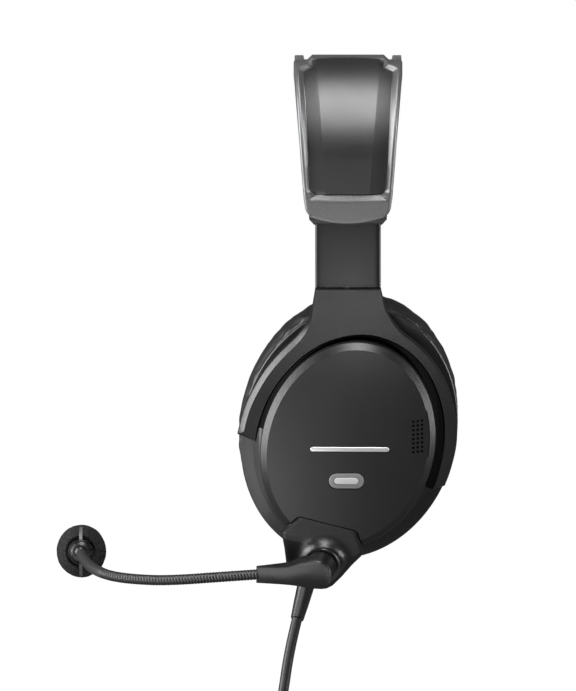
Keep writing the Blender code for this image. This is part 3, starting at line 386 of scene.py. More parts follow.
def coil_tie():
    """The strap round the coil's turns: a flat band that bulges over their corners."""
    middle = COIL_CENTRE - Vector((0.0, 0.0, COIL_RADIUS))
    edge = TIE_HALF_WIDTH - TIE_ROUND
    rings = []
    for x, inset in ((-TIE_HALF_WIDTH, TIE_ROUND), (-edge, 0.0), (edge, 0.0), (TIE_HALF_WIDTH, TIE_ROUND)):
        ring = []
        for c, s in round_steps(40):
            reach = (TIE_REACH - inset) * (abs(c) ** 5 + abs(s) ** 5) ** -0.2
            ring.append(middle + Vector((x, reach * c, reach * s)))
        rings.append(ring)
    for ring in (rings[3], rings[0]):
        inside = []
        for point in ring:
            level = Vector((point.x, middle.y, middle.z))
            inside.append(level + (point - level) * TIE_INSIDE)
        rings.append(inside)
    return skin("coil_tie", rings, WOVEN_STRAP, closed=True)


WOVEN_STRAP = finish("woven_strap", (0.02, 0.02, 0.021), 0.85, 1200.0, 0.8, 0.3)
place_one(coil_tie(), "left_cup", ("cable_tie",))

# The connector is a round push-pull one: a rubber boot, a plated shell with its contacts, and a grip.
CONNECTOR_TOP = Vector((-0.0065, -0.0388, -0.3300))
CONNECTOR_LENGTH = 0.0340
CONTACTS_BELOW = 0.0236
BOOT_RIBS = 6
GRIP_RIBS = 9
STEEL = finish("steel", (0.56, 0.56, 0.57), 0.28, 4000.0, 0.10, 0.05, metallic=1.0)
BLACK_PLASTIC = finish("black_plastic", (0.0055, 0.0055, 0.0058), 0.34, 2600.0, 0.25, 0.35)


def circle(centre, across, up, radius, count=32):
    """A ring of points in the plane of across and up."""
    return [centre + radius * (c * across + s * up) for c, s in round_steps(count)]


def turned(name, start, end, profile, material, count=48, sharp=35.0):
    """A turned piece: profile gives (distance from the start towards the end, radius)."""
    start = Vector(start)
    along = (Vector(end) - start).normalized()
    across = along.orthogonal().normalized()
    up = along.cross(across)
    rings = [circle(start + along * place, across, up, radius, count) for place, radius in profile]
    return skin(name, rings, material, sharp=sharp)


def connector():
    """The connector's four pieces, turned about one upright axis below the tail of the cord."""
    low = CONNECTOR_TOP - Vector((0.0, 0.0, CONNECTOR_LENGTH))
    bend = [(0.0, 0.0024), (0.0002, 0.0031)]
    for i in range(BOOT_RIBS):
        place = 0.0010 + 0.0014 * i
        grow = 0.00018 * i
        bend += [(place, 0.0032 + grow), (place + 0.0002, 0.0028 + grow)]
        bend += [(place + 0.0006, 0.0028 + grow), (place + 0.0008, 0.0033 + grow)]
    bend += [(0.0095, 0.0043), (0.0097, 0.0040)]
    boot = turned("connector_boot", CONNECTOR_TOP, low, bend, CORD_JACKET)
    shell = turned("connector_shell_fine", CONNECTOR_TOP, low, (
        (0.0098, 0.0038), (0.0099, 0.0046), (0.0102, 0.0048), (0.0337, 0.0048), (0.0340, 0.0046),
        (0.0340, 0.0040), (0.0240, 0.0039), (0.0240, 0.0010)), STEEL)
    seat = CONNECTOR_TOP - Vector((0.0, 0.0, CONTACTS_BELOW))
    insert = turned("connector_contacts", seat, low, (
        (0.0, 0.0034), (0.0072, 0.0034), (0.0075, 0.0031)), BLACK_PLASTIC)
    grip = [(0.0130, 0.0051), (0.0130, 0.0058), (0.0133, 0.0060)]
    for i in range(GRIP_RIBS):
        place = 0.0142 + 0.0010 * i
        grip += [(place, 0.0060), (place + 0.0002, 0.0057)]
        grip += [(place + 0.0005, 0.0057), (place + 0.0007, 0.0060)]
    grip += [(0.0257, 0.0060), (0.0260, 0.0058), (0.0260, 0.0051)]
    across = Vector((1.0, 0.0, 0.0))
    up = Vector((0.0, 1.0, 0.0))
    rings = []
    for place, radius in grip:
        rings.append(circle(CONNECTOR_TOP - Vector((0.0, 0.0, place)), across, up, radius, 48))
    sleeve = skin("connector_grip", rings, STEEL, closed=True, sharp=25.0)
    place_one(boot, "left_cup")
    place_one(shell, "left_cup", ("connector_shell",))
    place_one(insert, "left_cup", ("connector_insert",))
    place_one(sleeve, "connector_grip", ("connector_sleeve",))
    return [boot, shell, insert, sleeve]


connector_pieces = connector()

# --- Headband arms --------------------------------------------------------------------------------
# Each arm is one die-cast frame, bent over the shoulder, and two eyes at its top hold it on the
# crown's hinge pin. A dark satin panel is let into its outer face, and below it a plastic lining
# and guide close the slider's way.
PIN_OUT = 0.0120
PIN_Z = 0.0179
EYE_RADIUS = 0.0049
EYE_FROM = 0.0180
EYE_TO = 0.0217
EYE_ROUND = 0.0003
EYE_WEB = 0.0085

# The arm's mid line: level from the pin, round the shoulder, then straight down with a lean.
ARM_Z = 0.0181
ARM_HALF = 0.0043
ARM_TOP_HALF_WIDTH = 0.0219
ARM_TAPER = 0.078
SHOULDER_OUT = 0.0464
SHOULDER_RADIUS = 0.0340
SIDE_LEAN = math.radians(8.0)
SIDE_LENGTH = 0.0252
FLAT_LENGTH = SHOULDER_OUT - PIN_OUT
SIDE_TURN = math.pi / 2.0 + SIDE_LEAN
TURN_LENGTH = SHOULDER_RADIUS * SIDE_TURN
ARM_LENGTH = FLAT_LENGTH + TURN_LENGTH + SIDE_LENGTH
ARM_START = 0.0052
ARM_ROUND = 0.0013

# The panel's edges, along the arm, and the frame's shoulders beside the eyes.
INLAY_START = FLAT_LENGTH + SHOULDER_RADIUS * math.radians(13.7)
INLAY_SAG = 0.0031
INLAY_END = ARM_LENGTH - 0.0118
INLAY_NECK = FLAT_LENGTH + SHOULDER_RADIUS * math.radians(26.0)
INLAY_WIDE = FLAT_LENGTH + SHOULDER_RADIUS * math.radians(33.0)
INLAY_CORNER = 0.0030
INLAY_DEEP = 0.0020
FOOT_SAG = 0.0034
FOOT_HALF = ARM_TOP_HALF_WIDTH - ARM_TAPER * 0.0637
RIM_SLOPE = 0.0021
SHOULDER_DROP = 0.0019
DROP_FROM = FLAT_LENGTH + SHOULDER_RADIUS * math.radians(10.0)
DROP_TO = FLAT_LENGTH + SHOULDER_RADIUS * math.radians(26.0)
GUIDE_HALF = 0.0133
GUIDE_DEEP = 0.0021
# The guide below the frame's foot: (distance past the foot, half width, half thickness).
GUIDE_STEPS = ((-0.0060, 0.0157, 0.0030), (-0.0018, 0.0155, 0.0030),
               (-0.0004, 0.0143, 0.0028), (0.0001, 0.0136, 0.0026))


def arm_place(distance, offset):
    """The outward and upward place of a point along the arm's mid line, offset from the head."""
    turn = min(max((distance - FLAT_LENGTH) / SHOULDER_RADIUS, 0.0), SIDE_TURN)
    straight = min(distance, FLAT_LENGTH) - FLAT_LENGTH
    after = max(distance - FLAT_LENGTH - TURN_LENGTH, 0.0)
    reach = SHOULDER_RADIUS + offset
    out = SHOULDER_OUT + straight + reach * math.sin(turn) + after * math.cos(turn)
    up = ARM_Z - SHOULDER_RADIUS + reach * math.cos(turn) - after * math.sin(turn)
    return out, up


def arm_point(x, distance, offset):
    out, up = arm_place(distance, offset)
    return Vector((x, -out, up))


def arm_half_width(distance):
    return ARM_TOP_HALF_WIDTH - ARM_TAPER * (ARM_Z - arm_place(distance, 0.0)[1])


def step_between(low, high, value):
    share = min(max((value - low) / (high - low), 0.0), 1.0)
    return share * share * (3.0 - 2.0 * share)


def inlay_half(distance):
    """Half the panel's width: narrow over the crown, wide below the gusset, then tapering."""
    narrow = 0.0143
    wide = 0.0181 + (0.0150 - 0.0181) * max(0.0, (distance - INLAY_WIDE) / (INLAY_END - INLAY_WIDE))
    share = min(max((distance - INLAY_NECK) / (INLAY_WIDE - INLAY_NECK), 0.0), 1.0)
    half = narrow + (wide - narrow) * share
    over = INLAY_CORNER - (INLAY_END - distance)
    if over > 0.0:
        half -= INLAY_CORNER - math.sqrt(max(INLAY_CORNER**2 - over**2, 0.0))
    return half


def arm_stations(start, end, extra=()):
    count = 70
    places = {round(start + (end - start) * i / count, 6) for i in range(count + 1)}
    places |= {round(place, 6) for place in extra if start < place < end}
    return sorted(places)


def with_sag(x, distance):
    """Bows a straight line across the arm: the panel's upper edge up, and the frame's foot down."""
    upper = 1.0 - step_between(INLAY_START + 0.001, INLAY_START + 0.011, distance)
    lower = step_between(ARM_LENGTH - 0.012, ARM_LENGTH - 0.002, distance)
    bow = upper * INLAY_SAG * min(abs(x) / 0.0144, 1.0) ** 2
    return distance + bow - lower * FOOT_SAG * (x / FOOT_HALF) ** 2


def arm_frame():
    """The casting: a shallow tray for the panel, with low shoulders beside the hinge's eyes."""
    corner = [INLAY_END - INLAY_CORNER * (1.0 - math.sin(math.radians(a))) for a in range(15, 90, 15)]
    extra = [INLAY_START, INLAY_START + 0.0002, INLAY_NECK, INLAY_WIDE, INLAY_END, INLAY_END + 0.0001]
    extra += [INLAY_END + 0.0030, *corner]
    extra += [ARM_LENGTH - place for place in (0.0034, 0.0026, 0.0019, 0.0013, 0.0008, 0.0004, 0.0002)]
    rings = []
    for distance in arm_stations(ARM_START, ARM_LENGTH, extra):
        left = ARM_LENGTH - distance
        foot = max(0.0, 0.0034 - left)
        width = arm_half_width(distance) - 0.0034 + math.sqrt(max(0.0034**2 - foot**2, 0.0))
        pinch = 0.0007 * (1.0 - math.sqrt(max(0.0, 1.0 - max(0.0, 1.0 - left / 0.0007) ** 2)))
        low = SHOULDER_DROP * (1.0 - step_between(DROP_FROM, DROP_TO, distance))
        inside = INLAY_START < distance <= INLAY_END
        half = inlay_half(min(max(distance, INLAY_START), INLAY_END - 0.00001))
        floor = ARM_HALF - pinch
        brink = floor
        if inside:
            floor = ARM_HALF - INLAY_DEEP
            brink = floor + 0.0004
        elif distance > INLAY_END:
            fade = min((distance - INLAY_END) / 0.0030, 1.0)
            floor = ARM_HALF - 0.0010 * (1.0 - fade) - pinch
            brink = floor
            half += 0.0028 * min(fade * 2.0, 1.0)
        section = []
        for start, end, side in ((-90.0, 0.0, -1.0), (0.0, 90.0, 1.0)):
            for i in range(5):
                angle = math.radians(start + (end - start) * i / 4.0)
                middle = side * (ARM_HALF - ARM_ROUND - pinch) - (low if side > 0.0 else 0.0)
                across = width - ARM_ROUND + ARM_ROUND * math.cos(angle)
                section.append((across, middle + ARM_ROUND * math.sin(angle)))
        top = ARM_HALF - pinch - low
        section.append((min(half + RIM_SLOPE + 0.0005, width - ARM_ROUND - 0.0001), top))
        section.append((min(half + RIM_SLOPE, width - ARM_ROUND - 0.0002), top))
        section.append((half + 0.0001, brink))
        inner = [(half * share, floor) for share in (1.0, 0.8, 0.6, 0.4, 0.2)]
        under = [((width - ARM_ROUND) * share, pinch - ARM_HALF) for share in (0.25, 0.5, 0.75)]
        section = under + section + inner
        both = section + [(0.0, floor)] + [(-x, offset) for x, offset in reversed(section)]
        rings.append([arm_point(x, with_sag(x, distance), offset) for x, offset in both])
    return skin("left_arm_cast", rings, CAST_GREY, sharp=28.0)


def arm_eye(sign):
    """One of the arm's two eyes round the hinge pin, with the web that joins it to the frame."""
    rings = []
    for x, grow in ((EYE_FROM, -EYE_ROUND), (EYE_FROM + EYE_ROUND, 0.0),
                    (EYE_TO - EYE_ROUND, 0.0), (EYE_TO, -EYE_ROUND)):
        ring = []
        radius = EYE_RADIUS + grow
        for step in range(17):
            angle = math.radians(90.0 + 11.25 * step)
            ring.append((radius * math.cos(angle), radius * math.sin(angle)))
        ring.append((EYE_WEB, -radius))
        ring.append((EYE_WEB, radius))
        rings.append([Vector((sign * x, -PIN_OUT - out, PIN_Z + up)) for out, up in ring])
    return skin("left_arm_eye", rings, CAST_GREY)


def arm_inlay():
    """The panel: a flat band down its middle, with a shallow facet along each side."""
    corner = [INLAY_END - INLAY_CORNER * (1.0 - math.sin(math.radians(a))) for a in range(10, 90, 10)]
    extra = [INLAY_NECK, INLAY_WIDE, *corner]
    rings = []
    gap = 0.0002
    for distance in arm_stations(INLAY_START + gap, INLAY_END - gap, extra):
        half = inlay_half(distance) - gap
        share = (distance - FLAT_LENGTH) / (INLAY_END - FLAT_LENGTH)
        band = min(0.0126 - 0.0060 * max(0.0, share - 0.35), half * 0.86)
        top = ARM_HALF - 0.00030
        low = ARM_HALF - INLAY_DEEP + 0.00002
        across = (
            (half * 0.5, low), (half, low), (half, top - 0.00125), (half - 0.0002, top - 0.00110),
            (band + 0.0004, top - 0.00010), (band - 0.0003, top), (band * 0.66, top), (band * 0.33, top),
            (0.0, top),
        )
        both = list(across) + [(-x, offset) for x, offset in reversed(across[:-1])]
        rings.append([arm_point(x, with_sag(x, distance), offset) for x, offset in both])
    return skin("left_arm_panel", rings, INLAY, sharp=5.0)


def arm_lining():
    """The thin plate under the frame that covers the slider's way."""
    section = ((-0.0131, 0.0003), (-0.0129, -0.0001), (0.0129, -0.0001), (0.0131, 0.0003))
    rings = []
    for distance in arm_stations(FLAT_LENGTH * 0.5, ARM_LENGTH - 0.0043):
        rings.append([arm_point(x, distance, up - ARM_HALF) for x, up in section])
    return skin("left_arm_lining", rings, BLACK_PLASTIC)


def arm_guide():
    """The hollow mouth that guides the slider and shows dark under the frame's foot."""
    outer = []
    inner = []
    for distance, half, thick in GUIDE_STEPS:
        for rings, across, deep in ((outer, half, thick), (inner, GUIDE_HALF, GUIDE_DEEP)):
            section = ((-across, -deep), (across, -deep), (across, deep), (-across, deep))
            rings.append([arm_point(x, ARM_LENGTH + distance, offset) for x, offset in section])
    return skin("left_arm_guide", outer + inner[::-1], BLACK_PLASTIC, closed=True)


def joined(piece, other):
    """Puts another piece's mesh into this one, each face keeping its own material."""
    slots = [piece.data.materials.find(material.name) for material in other.data.materials]
    for i, material in enumerate(other.data.materials):
        if slots[i] < 0:
            piece.data.materials.append(material)
            slots[i] = len(piece.data.materials) - 1
    mesh = bmesh.new()
    mesh.from_mesh(piece.data)
    count = len(mesh.faces)
    mesh.from_mesh(other.data)
    mesh.faces.ensure_lookup_table()
    for face in mesh.faces[count:]:
        face.material_index = slots[face.material_index]
    mesh.to_mesh(piece.data)
    mesh.free()
    bpy.data.objects.remove(other)


def mirrored(piece, name):
    """The same piece for the other side of the head."""
    copy = piece.copy()
    copy.data = piece.data.copy()
    copy.name = name
    scene.collection.objects.link(copy)
    copy.data.transform(Matrix.Scale(-1.0, 4, (0.0, 1.0, 0.0)))
    copy.data.flip_normals()
    return copy


def place_pair(piece, part, body, nodes=()):
    """Puts a left piece and its mirrored copy on their bodies, in place of their CAD nodes."""
    piece.name = f"left_{part}"
    for word, one in (("left", piece), ("right", mirrored(piece, f"right_{part}"))):
        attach(one, f"{word}_{body}")
        if nodes:
            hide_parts(*[f"{word}_{node}" for node in nodes])


CAST_GREY = finish("cast_grey", (0.17, 0.17, 0.173), 0.40, 2600.0, 0.4, 0.45, metallic=0.7)
INLAY = finish("satin_inlay", (0.007, 0.007, 0.0074), 0.42, 2400.0, 0.35, 0.35,
               Specular_IOR_Level=0.95)
cast = arm_frame()
for sign in (-1.0, 1.0):
    joined(cast, arm_eye(sign))
place_pair(cast, "arm_cast", "arm", ("arm_frame",))
place_pair(arm_inlay(), "arm_panel", "arm", ("arm_inlay",))
place_pair(arm_lining(), "arm_lining", "arm", ("arm_liner",))
place_pair(arm_guide(), "arm_guide", "arm")

# --- Crown ----------------------------------------------------------------------------------------
# The bridge between the hinges is cast like the arms, with turned steel pins and coiled springs.
# The pad under it is soft synthetic leather, sewn round a foam core and held on by the bridge.
PAD_HALF_LENGTH = 0.0455
PAD_HALF_ACROSS = 0.0162
PAD_HALF_HIGH = 0.0063
PAD_HIGH = 0.0065
SEAM_DEEP = 0.0006


def refinish(node, material):
    """Gives a CAD piece that keeps its own mesh this material."""
    target = frame["nodes"][node]
    target.data.materials.clear()
    target.data.materials.append(material)


def squared(value, power):
    """A sine or cosine pushed towards its ends, which squares a round outline."""
    return math.copysign(abs(value) ** power, value)


def crown_pad():
    """The crown pad: crowned, with rounded ends and a sewn edge."""
    rings = []
    steps = 40
    for i in range(steps + 1):
        angle = math.pi * i / steps
        along = squared(-math.cos(angle), 0.9) * PAD_HALF_LENGTH
        full = max(abs(math.sin(angle)), 0.02) ** 0.35
        ring = []
        for c, s in round_steps(36):
            x = squared(c, 0.55) * PAD_HALF_ACROSS * full
            z = PAD_HIGH + squared(s, 0.7) * PAD_HALF_HIGH * full
            seam = SEAM_DEEP * math.exp(-((s - 0.35) / 0.12) ** 2)
            ring.append(Vector((x * (1.0 - seam / PAD_HALF_ACROSS), along, z)))
        rings.append(ring)
    return skin("crown_pad", rings, LEATHER, sharp=80.0)


refinish("crown_bridge", CAST_GREY)
for piece_name in ("crown_pin", "crown_spring"):
    for side_name in ("left", "right"):
        refinish(f"{piece_name}_{side_name}", STEEL)
LEATHER = finish("soft_leather", (0.0075, 0.0075, 0.008), 0.46, 900.0, 0.5, 0.2)
pad = crown_pad()
place_one(pad, "crown", ("crown_cushion",))

# --- Slider and yoke ------------------------------------------------------------------------------
# A flat moulded band slides in each arm and stays where it is set. Under its seam hangs the yoke,
# a moulded fork that swivels on a post and carries the cup on two pins in its ends.


def joint_place(name):
    """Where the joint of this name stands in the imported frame."""
    for joint in frame["joints"]:
        if joint["name"] == name:
            return Vector(joint["pos_m"])
    raise ValueError(name)


SEAM = joint_place("left_yoke_swivel")
PIVOT = joint_place("left_cup_tilt")
CUP_LEAN = math.radians(14.4)
CUP_TILT = math.radians(5.0)
SIDE_FRAME = Matrix.Translation(SEAM) @ Matrix.Rotation(SIDE_LEAN, 4, "X")
LEAN_TURN = Matrix.Rotation(SIDE_LEAN, 4, "X") @ Matrix.Rotation(CUP_LEAN, 4, "Y")
LEAN_FRAME = Matrix.Translation(PIVOT) @ LEAN_TURN
CUP_FRAME = LEAN_FRAME @ Matrix.Rotation(CUP_TILT, 4, "X")
SLIDER_HALF_WIDTH = 0.0131
SLIDER_HALF_THICK = 0.0018


def slider_band():
    """The band: softly crowned faces, rounded edges and a thin step at the seam."""
    rings = []
    for z, inset in ((0.0360, 0.0004), (0.0358, 0.0), (0.0008, 0.0), (0.0003, 0.0), (0.00018, 0.0003)):
        ring = []
        for c, s in round_steps(32):
            x = squared(c, 0.16) * (SLIDER_HALF_WIDTH - inset)
            y = squared(s, 0.5) * (SLIDER_HALF_THICK - inset)
            ring.append(SIDE_FRAME @ Vector((x, y, z)))
        rings.append(ring)
    return skin("left_slider", rings, BLACK_PLASTIC, sharp=50.0)


place_pair(slider_band(), "slider", "slider", ("slider_band",))

YOKE_INNER_X = 0.0374
YOKE_INNER_Z = 0.0450
NECK_EASE = 0.0003
FRONT_EASE = 0.0022
REAR_EASE = 0.0006
INNER_EASE = 0.0007
# The fork's outer edge from the seam to its front and rear ends, beside and below the seam.
YOKE_FRONT = (
    (-0.0131, -0.0002), (-0.0138, -0.0045), (-0.0153, -0.0118), (-0.0193, -0.0181), (-0.0272, -0.0259),
    (-0.0337, -0.0337), (-0.0391, -0.0429), (-0.0421, -0.0503), (-0.0443, -0.0590),
)
YOKE_REAR = (
    (0.0131, -0.0002), (0.0140, -0.0040), (0.0160, -0.0103), (0.0212, -0.0172), (0.0290, -0.0236),
    (0.0360, -0.0322), (0.0406, -0.0419), (0.0434, -0.0532), (0.0435, -0.0632), (0.0412, -0.0734),
    (0.0388, -0.0800),
)
# How far the fork's inner edge stands in from an oval: (degrees from the rear, over the top; inset).
INNER_INSET = (
    (-20.0, 0.0), (0.0, 0.0007), (30.0, 0.0003), (60.0, 0.0), (90.0, 0.0002), (120.0, 0.0009),
    (145.0, 0.0011), (170.0, 0.0006), (200.0, 0.0),
)
# The fork's depth: (place towards the head, share of the ease that the outline has drawn in there).
YOKE_DEPTH = (
    (0.0024, 0.25), (0.0021, 0.0), (-0.0024, 0.0), (-0.0028, 0.12), (-0.0043, 0.86), (-0.0046, 1.0),
    (-0.0046, 1.15),
)


def inner_inset(degrees):
    for (a, low), (b, high) in zip(INNER_INSET, INNER_INSET[1:]):
        if degrees <= b:
            return low + (high - low) * step_between(a, b, degrees)
    return 0.0


def outer_ease(point, full):
    """The outer edge is crisp beside the seam and broadly eased from the shoulder down."""
    return NECK_EASE + (full - NECK_EASE) * step_between(0.0060, 0.0230, -point.z)


def yoke():
    """The fork, drawn as one outline and given its depth, with a broad ease on its outer edges."""
    front = smooth_route([(x, 0.0, z) for x, z in YOKE_FRONT], 5)
    rear = smooth_route([(x, 0.0, z) for x, z in YOKE_REAR], 5)
    to_side = SIDE_FRAME.inverted() @ LEAN_FRAME
    inner = []
    start = -math.asin(0.0095 / YOKE_INNER_Z)
    end = math.pi + math.asin(0.0082 / YOKE_INNER_Z)
    steps = 64
    for i in range(steps + 1):
        angle = start + (end - start) * i / steps
        inset = inner_inset(math.degrees(angle))
        x = -0.0005 + (YOKE_INNER_X - inset) * math.cos(angle)
        z = 0.0074 + (YOKE_INNER_Z - inset) * math.sin(angle)
        inner.append(to_side @ Vector((x, 0.0, z)))
    outline = [(point, outer_ease(point, FRONT_EASE)) for point in reversed(front)]
    outline += [(point, outer_ease(point, REAR_EASE)) for point in rear]
    outline += [(point, INNER_EASE) for point in inner]
    count = len(outline)
    ease_in = []
    for i, (point, ease) in enumerate(outline):
        before = (point - outline[i - 1][0]).normalized()
        after = (outline[(i + 1) % count][0] - point).normalized()
        inward = Vector((-before.z - after.z, 0.0, before.x + after.x)).normalized()
        ease_in.append(-inward * ease)
    rings = []
    for y, share in YOKE_DEPTH:
        ring = []
        for (point, _), ease in zip(outline, ease_in):
            ring.append(SIDE_FRAME @ Vector((point.x + ease.x * share, y, point.z + ease.z * share)))
        rings.append(ring)
    return skin("left_yoke_fine", rings, BLACK_PLASTIC, sharp=40.0)


fork = yoke()
place_pair(fork, "yoke_shell", "fork", ("yoke", "pivot_pin_front", "pivot_pin_rear"))

# --- Cup ------------------------------------------------------------------------------------------
# A moulded drum with a flange for the cushion, closed by a shallow cover with a chamfered rim. The
# cover snaps in, and carries a grey port for the outer microphone, a silver trim bar and three
# columns of vent holes.
CUP_X = -0.0013
CUP_Z = 0.0080
COVER_X = 0.0346
COVER_Z = 0.0430
COVER_CROWN = 0.0098
COVER_FACE = 0.0086
FACE_X = 0.0319
FACE_Z = 0.0403
CUP_SIDES = 128
CUTTER_OUT = 0.0140


def oval(half_x, half_z, out, count=CUP_SIDES):
    """A level ring round the leaning cup's axis."""
    steps = round_steps(count)
    return [CUP_FRAME @ Vector((CUP_X + half_x * c, -out, CUP_Z + half_z * s)) for c, s in steps]


def housing():
    """The drum: a flange at the head's side, a slope that clears the yoke, and an open front."""
    profile = (
        (-0.0169, 0.0400, 0.0497), (-0.0169, 0.0429, 0.0526), (-0.0166, 0.0431, 0.0528),
        (-0.0150, 0.0431, 0.0528), (-0.0147, 0.0428, 0.0525), (-0.0146, 0.0418, 0.0514),
        (-0.0142, 0.0394, 0.0488), (-0.0133, 0.0366, 0.0456), (-0.0119, 0.0347, 0.0435),
        (-0.0100, 0.0338, 0.0426), (-0.0070, 0.0334, 0.0422), (0.0026, 0.0334, 0.0422),
        (0.0030, 0.0331, 0.0419), (0.0030, 0.0312, 0.0400), (-0.0105, 0.0312, 0.0400),
        (-0.0147, 0.0400, 0.0497),
    )
    return skin("left_housing", [oval(x, z, out) for out, x, z in profile], BLACK_PLASTIC, closed=True)


def cover():
    """The cover: a chamfered rim round a face that rises a little to its middle."""
    profile = (
        (0.0060, 0.0300, 0.0384), (0.0033, 0.0312, 0.0396), (0.0033, 0.0344, 0.0428),
        (0.0036, COVER_X, COVER_Z), (0.0063, COVER_X, COVER_Z), (0.0067, 0.0344, 0.0428),
        (0.0083, 0.0323, 0.0407), (COVER_FACE, FACE_X, FACE_Z),
    )
    rings = [oval(x, z, out) for out, x, z in profile]
    for share in (0.96, 0.9, 0.8, 0.65, 0.45, 0.25, 0.08):
        out = COVER_FACE + (COVER_CROWN - COVER_FACE) * (1.0 - share * share)
        rings.append(oval(FACE_X * share, FACE_Z * share, out))
    return skin("left_cover", rings, BLACK_PLASTIC, sharp=18.0)


def plate(name, outline, low, high, material):
    """A piece in the cup's frame with the given outline (x, z), between two heights."""
    rings = [[CUP_FRAME @ Vector((x, -out, z)) for x, z in outline] for out in (low, high)]
    return skin(name, rings, material)


MODULE_TOP = -0.0248
MODULE_SHOULDER = -0.0324


def module_outline(grow):
    """The outline of the cover's notch, a trapezoid with its corners eased."""
    top, shoulder, low = 0.0119 + grow, 0.0171 + grow, -0.0420
    corners = (
        (-shoulder, low), (-shoulder, MODULE_SHOULDER), (-top, MODULE_TOP + grow),
        (top, MODULE_TOP + grow), (shoulder, MODULE_SHOULDER), (shoulder, low),
    )
    outline = []
    for i, (x, z) in enumerate(corners):
        if i in (0, 5):
            outline.append((CUP_X + x, z))
            continue
        before = Vector(corners[i - 1]) - Vector((x, z))
        after = Vector(corners[i + 1]) - Vector((x, z))
        ease = 0.0014
        start = Vector((x, z)) + before.normalized() * ease
        end = Vector((x, z)) + after.normalized() * ease
        for t in (0.0, 0.25, 0.5, 0.75, 1.0):
            point = start * (1 - t) ** 2 + Vector((x, z)) * 2 * t * (1 - t) + end * t * t
            outline.append((CUP_X + point.x, point.y))
    return outline


def slot_outline(x, z, half, radius, count=10):
    """A level slot with round ends on the leaning cup."""
    outline = []
    for end in (1.0, -1.0):
        for step in range(count + 1):
            angle = math.radians(-90.0 + 180.0 * step / count)
            across = end * (half - radius + radius * math.cos(angle))
            up = end * radius * math.sin(angle)
            outline.append((x + math.cos(CUP_LEAN) * across - math.sin(CUP_LEAN) * up,
                            z + math.sin(CUP_LEAN) * across + math.cos(CUP_LEAN) * up))
    return outline


PORT_X = 0.0016
PORT_Z = -0.0055
VENT_X = 0.0246
VENT_Z = 0.0194
VENT_PITCH = 0.00176
VENT_RISE = 0.0018
VENT_RADIUS = 0.00052
BAR_X = -0.0004
BAR_Z = 0.0075


def vent_holes():
    """The cutter for the small holes at the cover's rear: three upright columns of eight."""
    mesh = bmesh.new()
    spin = Matrix.Rotation(math.radians(90.0), 4, "X")
    for column in range(3):
        for row in range(8):
            across = VENT_PITCH * (column - 1)
            up = VENT_RISE * (3.5 - row) + 0.13 * across
            x = VENT_X + math.cos(CUP_LEAN) * across - math.sin(CUP_LEAN) * up
            z = VENT_Z + math.sin(CUP_LEAN) * across + math.cos(CUP_LEAN) * up
            place = Matrix.Translation((x, -COVER_CROWN, z))
            bmesh.ops.create_cone(mesh, cap_ends=True, segments=12, radius1=VENT_RADIUS,
                                  radius2=VENT_RADIUS, depth=0.004, matrix=place @ spin)
    mesh.transform(CUP_FRAME)
    return new_piece("vent_cutter", mesh, BLACK_PLASTIC)


def apply_all(piece):
    """Turns the piece's modifiers into its mesh."""
    view = bpy.context.evaluated_depsgraph_get()
    data = bpy.data.meshes.new_from_object(piece.evaluated_get(view))
    piece.modifiers.clear()
    piece.data = data


def bevel(piece, width, segments=3, angle=30.0):
    """Rounds the piece's sharp edges."""
    modifier = piece.modifiers.new("edges", "BEVEL")
    modifier.width = width
    modifier.segments = segments
    modifier.limit_method = "ANGLE"
    modifier.angle_limit = math.radians(angle)
    apply_all(piece)
    shade(piece)


def cut(piece, tool, operation="DIFFERENCE", sharp=35.0):
    """Cuts the piece with a tool shape, or welds the two, and throws the tool away."""
    modifier = piece.modifiers.new("cut", "BOOLEAN")
    modifier.object = tool
    modifier.operation = operation
    modifier.solver = "EXACT"
    bpy.context.view_layer.update()
    apply_all(piece)
    bpy.data.objects.remove(tool)
    shade(piece, sharp)


lid = cover()
port_room = slot_outline(PORT_X, PORT_Z, 0.0074, 0.00345)
bar_room = slot_outline(BAR_X, BAR_Z, 0.0161, 0.0012)
cut(lid, plate("notch", module_outline(0.00028), 0.0020, CUTTER_OUT, BLACK_PLASTIC), sharp=18.0)
cut(lid, plate("port_seat", port_room, COVER_CROWN - 0.0016, CUTTER_OUT, BLACK_PLASTIC))
cut(lid, plate("bar_seat", bar_room, COVER_CROWN - 0.0008, CUTTER_OUT, BLACK_PLASTIC))
cut(lid, vent_holes(), sharp=18.0)

# Painted shade: the inner faces of the vent holes, and the drum's slope behind the cover's edge where the
# yoke's shadow falls, get a near-black finish in place of the shade that falls there.
PAINTED_SHADE_BLACK = finish("painted_shade_black", (0.0012, 0.0012, 0.0012), 0.85, 2000.0, 0.2, 0.1,
                   Specular_IOR_Level=0.1)
to_cup = CUP_FRAME.inverted()
lid.data.materials.append(PAINTED_SHADE_BLACK)
# Painted shade: the small faces inside the vent holes take the near-black finish.
for polygon in lid.data.polygons:
    middle = to_cup @ polygon.center
    beside = abs(middle.x - VENT_X) < 0.006 and abs(middle.z - VENT_Z) < 0.011
    if beside and 0.004 < -middle.y < 0.0087 and polygon.area < 1.2e-6:
        polygon.material_index = 1
place_pair(lid, "cover", "cup", ("cup_cover",))
drum = housing()
drum.data.materials.append(PAINTED_SHADE_BLACK)
# Painted shade: the drum's upper slope behind the cover's edge, where the yoke's shadow falls, takes the
# near-black finish.
for polygon in drum.data.polygons:
    middle = to_cup @ polygon.center
    if middle.z > (-0.005 if middle.x > 0.0 else 0.0010) and -0.0034 < middle.y < 0.0138:
        polygon.material_index = 1
place_pair(drum, "housing", "cup", ("cup_housing",))

PORT_GREY = finish("port_grey", (0.16, 0.16, 0.16), 0.45, 2400.0, 0.2, 0.1)
PORT_PALE = finish("port_pale", (0.42, 0.42, 0.42), 0.40, 2400.0, 0.2, 0.1)
BRIGHT = finish("bright_trim", (0.62, 0.62, 0.62), 0.32, 3000.0, 0.15, 0.06, metallic=0.6)


